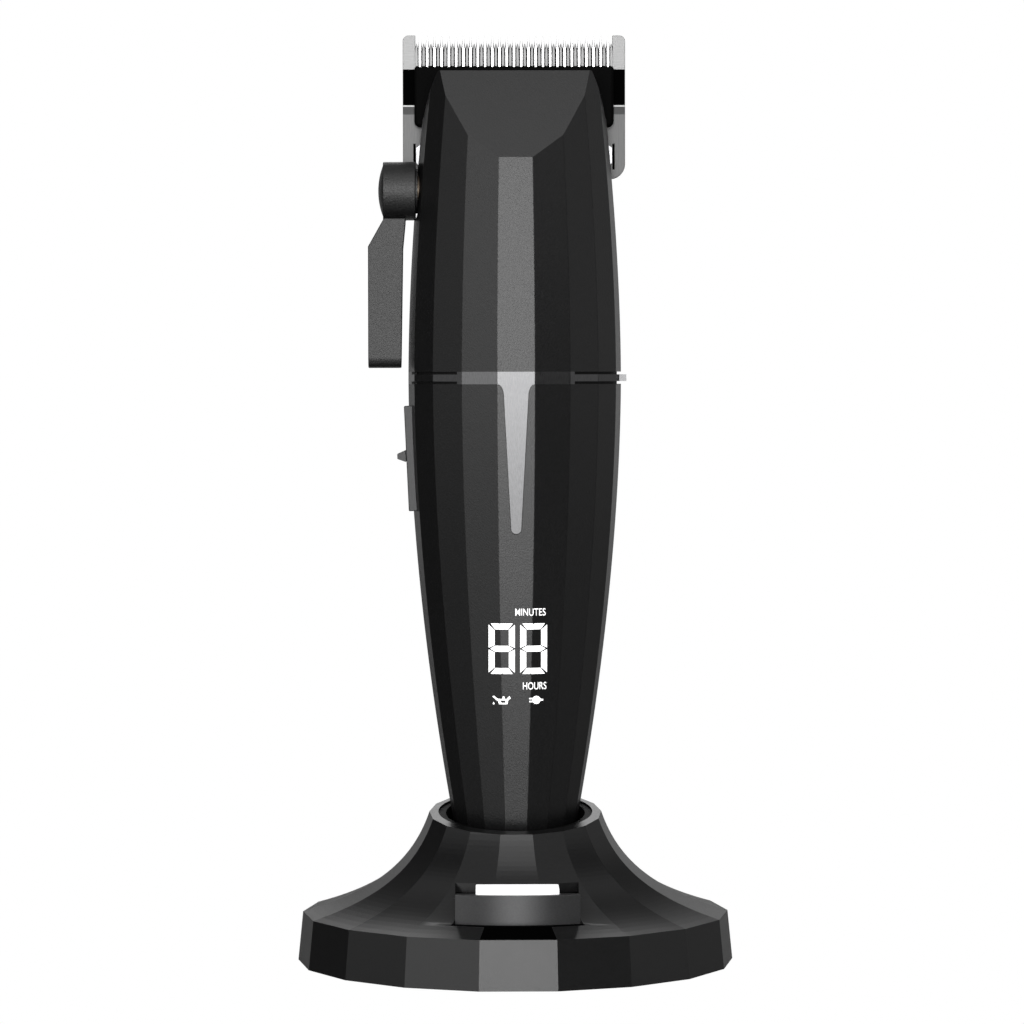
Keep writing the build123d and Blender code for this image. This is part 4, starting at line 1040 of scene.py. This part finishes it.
# ---------------------------------------------------------------- build every piece
grip()
trim_ring()
head()
fixed_blade()
moving_blade()
dock()
display()
def light_bar():
    """Light guide behind the visor's upper edge, with rounded ends."""
    bar = keep(rod("light_bar", 33.9, 17.3, 19.25), brick("bar ends", -8.3, 8.3, -FAR, -26.3, 0, FAR))
    soften(bar, 0.6, 4, 50.0)
    hang(wear(shade(bar), light_guide), "dock", "light_white", "dock_light_bar")


# ---------------------------------------------------------------- screws and springs
def screw_head(name, radius, height, cross=True):
    """Pan head facing +Z with a cross or a single slot."""
    head = rod(name, radius, 0.0, height, edge=min(0.35, height / 3), steps=40)
    arm, half = radius * 0.62, radius * 0.11
    reach = arm if cross else radius + 1
    cut(head, brick("slot", -reach, reach, -half, half, height * 0.45, height + 1))
    if cross:
        cut(head, brick("slot", -half, half, -arm, arm, height * 0.45, height + 1))
    return wear(shade(head), screw_steel)


def row_tree(source):
    """Equal pieces set in a straight row."""
    tree = Tree("row_" + source.name, Count=2, X=0.0, Y=0.0, Z=0.0, Step_X=0.0, Step_Y=0.0, Step_Z=0.0,
                Turn_X=0.0, Turn_Z=0.0)
    row = tree.node("GeometryNodeMeshLine", {
        "Count": tree.size("Count"),
        "Start Location": tree.vector(tree.size("X"), tree.size("Y"), tree.size("Z")),
        "Offset": tree.vector(tree.size("Step_X"), tree.size("Step_Y"), tree.size("Step_Z"))})
    what = tree.node("GeometryNodeObjectInfo", {"Object": source})
    placed = tree.node("GeometryNodeInstanceOnPoints", {
        "Points": row.outputs[0], "Instance": what.outputs["Geometry"],
        "Rotation": tree.vector(tree.size("Turn_X"), 0.0, tree.size("Turn_Z"))})
    tree.close(placed.outputs[0], source.data.materials[0])
    return tree


def ring_tree(source):
    """Equal pieces set round a circle."""
    tree = Tree("ring_" + source.name, Count=4, Radius=33.0, Height=0.0, Turn=0.0, Flip=0.0)
    circle = tree.node("GeometryNodeMeshCircle", {
        "Vertices": tree.size("Count"), "Radius": tree.size("Radius")})
    turned = tree.node("GeometryNodeTransform", {
        "Geometry": circle.outputs[0], "Translation": tree.vector(0.0, 0.0, tree.size("Height")),
        "Rotation": tree.vector(0.0, 0.0, tree.size("Turn"))})
    what = tree.node("GeometryNodeObjectInfo", {"Object": source})
    placed = tree.node("GeometryNodeInstanceOnPoints", {
        "Points": turned.outputs[0], "Instance": what.outputs["Geometry"],
        "Rotation": tree.vector(tree.size("Flip"), 0.0, 0.0)})
    tree.close(placed.outputs[0], source.data.materials[0])
    return tree


def spring_tree():
    """Round wire wound into a coil."""
    tree = Tree("coil", Turns=5.0, Radius=1.1, Height=2.4, Wire=0.16, X=0.0, Z=0.0)
    path = tree.node("GeometryNodeCurveSpiral", {
        "Resolution": 24, "Rotations": tree.size("Turns"), "Start Radius": tree.size("Radius"),
        "End Radius": tree.size("Radius"), "Height": tree.size("Height")})
    ring = tree.node("GeometryNodeCurvePrimitiveCircle", {"Resolution": 10, "Radius": tree.size("Wire")})
    wire = tree.node("GeometryNodeCurveToMesh", {
        "Curve": path.outputs[0], "Profile Curve": ring.outputs[0], "Fill Caps": True})
    moved = tree.node("GeometryNodeTransform", {
        "Geometry": wire.outputs[0], "Translation": tree.vector(tree.size("X"), 0.0, tree.size("Z"))})
    tree.close(moved.outputs[0], screw_steel)
    return tree


def screws():
    """Heads with their drives cut in, one row for each group of screws."""
    quarter = math.pi / 2
    cross, wide = screw_head("cross_head", 1.7, 1.1), screw_head("slotted_head", 2.6, 1.3, cross=False)
    base = screw_head("base_head", 2.2, 1.0)
    row = row_tree(cross)
    low, high = GRIP_SCREW_HEIGHTS
    low_seat, high_seat = grip_screw_seat(low), grip_screw_seat(high)
    heads = grow("grip_screw_heads", row, Y=low_seat, Z=low,
                 Step_Y=high_seat - low_seat, Step_Z=high - low, Turn_X=-quarter)
    hang(shade(heads), "clipper", "screw_steel", "grip_screws")
    x, seat_y, z = HEAD_SCREW
    heads = grow("head_screw_heads", row, X=-x, Y=seat_y, Z=z, Step_X=2 * x, Turn_X=-quarter)
    hang(shade(heads), "clipper", "screw_steel", "head_screws")
    x, z = BLADE_SCREW
    heads = grow("blade_screw_heads", row_tree(wide), X=-x, Y=FIXED_BACK, Z=z, Step_X=2 * x, Turn_X=-quarter)
    hang(shade(heads), "blade_carriage", "screw_steel", "blade_screws")
    heads = grow("base_screw_heads", ring_tree(base), Radius=BASE_SCREW_CIRCLE, Height=2.2,
                 Turn=math.pi / 4, Flip=math.pi)
    hang(shade(heads), "dock", "screw_steel", "dock_screws")
    for tool in (cross, wide, base):
        bpy.data.objects.remove(tool)


def pin_springs():
    coil = spring_tree()
    for side, name in ((-1, "left"), (1, "right")):
        spring = grow("pin_spring_" + name, coil, X=PIN_X * side, Z=9.4)
        hang(shade(spring), "dock", "screw_steel", "contact_spring_" + name)
        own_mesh(spring)


light_bar()
screws()
pin_springs()
for node, slot, width in (
    ("dock_visor", "visor_grey", 0.2), ("dock_cup", "cup_black", 0.2),
    ("dock_base_plate", "chassis_plastic", 0.2), ("dock_foot_ring", "rubber_foot", 0.2),
    ("taper_lever", "lever_coat", 0.35), ("lever_cap", "lever_coat", 0.1),
    ("end_cap", "coated_shell", 0.15), ("blade_carriage", "screw_steel", 0.5),
    ("switch_plate", "slider_grey", 0.2), ("switch_slider", "slider_grey", 0.15),
):
    dress_and_hang(node, slot, width)

for node, piece in frame["nodes"].items():
    if not piece.hide_render:
        wear(piece, NODE_FINISH.get(node, SLOT_FINISH[SLOT_OF[node]]))


# ---------------------------------------------------------------- studio
def studio():
    world = bpy.data.worlds.new("studio")
    bpy.context.scene.world = world
    world.use_nodes = True
    nodes, links = world.node_tree.nodes, world.node_tree.links
    nodes.clear()
    seen = nodes.new("ShaderNodeBackground")
    seen.inputs["Color"].default_value = (1, 1, 1, 1)
    felt = nodes.new("ShaderNodeBackground")
    felt.inputs["Color"].default_value = (1, 1, 1, 1)
    felt.inputs["Strength"].default_value = 0.04
    path = nodes.new("ShaderNodeLightPath")
    choice = nodes.new("ShaderNodeMixShader")
    out = nodes.new("ShaderNodeOutputWorld")
    links.new(path.outputs["Is Camera Ray"], choice.inputs["Fac"])
    links.new(felt.outputs[0], choice.inputs[1])
    links.new(seen.outputs[0], choice.inputs[2])
    links.new(choice.outputs[0], out.inputs["Surface"])

    floor = link(bpy.data.objects.new("floor", bpy.data.meshes.new("floor")))
    floor.data.from_pydata([(-3, -3, 0), (3, -3, 0), (3, 3, 0), (-3, 3, 0)], [], [(0, 1, 2, 3)])
    pale = bpy.data.materials.new("pale_floor")
    pale.use_nodes = True
    nodes, links = pale.node_tree.nodes, pale.node_tree.links
    shader = nodes["Principled BSDF"]
    shader.inputs["Base Color"].default_value = (0.4, 0.4, 0.4, 1)
    shader.inputs["Metallic"].default_value = 1.0
    shader.inputs["Roughness"].default_value = 0.3
    glow = nodes.new("ShaderNodeEmission")
    glow.inputs["Color"].default_value = (1, 1, 1, 1)
    path = nodes.new("ShaderNodeLightPath")
    choice = nodes.new("ShaderNodeMixShader")
    links.new(path.outputs["Is Camera Ray"], choice.inputs["Fac"])
    links.new(shader.outputs[0], choice.inputs[1])
    links.new(glow.outputs[0], choice.inputs[2])
    links.new(choice.outputs[0], nodes["Material Output"].inputs["Surface"])
    floor.data.materials.append(pale)
    bpy.context.scene.view_settings.view_transform = "Standard"


def panel(name, azimuth, elevation, width, height, radiance, distance=1.3):
    """Soft light panel that faces the clipper; width and height in degrees of view."""
    turn, lift = math.radians(azimuth), math.radians(elevation)
    centre = Vector((0, 0, 0.1))
    away = Vector((math.sin(turn) * math.cos(lift), -math.cos(turn) * math.cos(lift), math.sin(lift)))
    lamp = bpy.data.lights.new(name, "AREA")
    lamp.shape = "RECTANGLE"
    lamp.size = 2 * distance * math.tan(math.radians(width / 2))
    lamp.size_y = 2 * distance * math.tan(math.radians(height / 2))
    lamp.energy = radiance * math.pi * lamp.size * lamp.size_y
    holder = link(bpy.data.objects.new(name, lamp))
    holder.location = centre + away * distance
    holder.rotation_euler = (-away).to_track_quat("-Z", "Y").to_euler()
    holder.visible_camera = False


def camera():
    lens = bpy.data.cameras.new("camera")
    lens.lens = 141.3
    lens.sensor_width = 36
    holder = link(bpy.data.objects.new("camera", lens))
    spot = Vector((-0.0109, -0.828, 0.122))
    target = Vector((-0.0006, 0.0, 0.0929))
    turn = (target - spot).to_track_quat("-Z", "Y").to_matrix().to_4x4()
    holder.matrix_world = Matrix.Translation(spot) @ turn @ Matrix.Rotation(math.radians(-0.08), 4, "Z")
    bpy.context.scene.camera = holder


studio()
panel("front", -1, 8, 24, 34, 7.4)
panel("front middle", 0, 37, 20, 14, 4.0)
panel("front high", 0, 58, 24, 26, 1.5)
panel("front left", -40, 8, 24, 60, 1.9)
panel("left", -80, 8, 24, 60, 0.55)
panel("front right", 42, 26, 20, 40, 0.5)
panel("right", 80, 8, 24, 60, 0.55)
panel("rear right", 120, 8, 24, 60, 0.3)
panel("back right", 160, 4, 22, 22, 0.5)
panel("back left", -160, 4, 22, 22, 0.4)
panel("back", 180, 24, 20, 34, 1.6)
panel("overhead", 0, 89, 80, 80, 0.4)
camera()
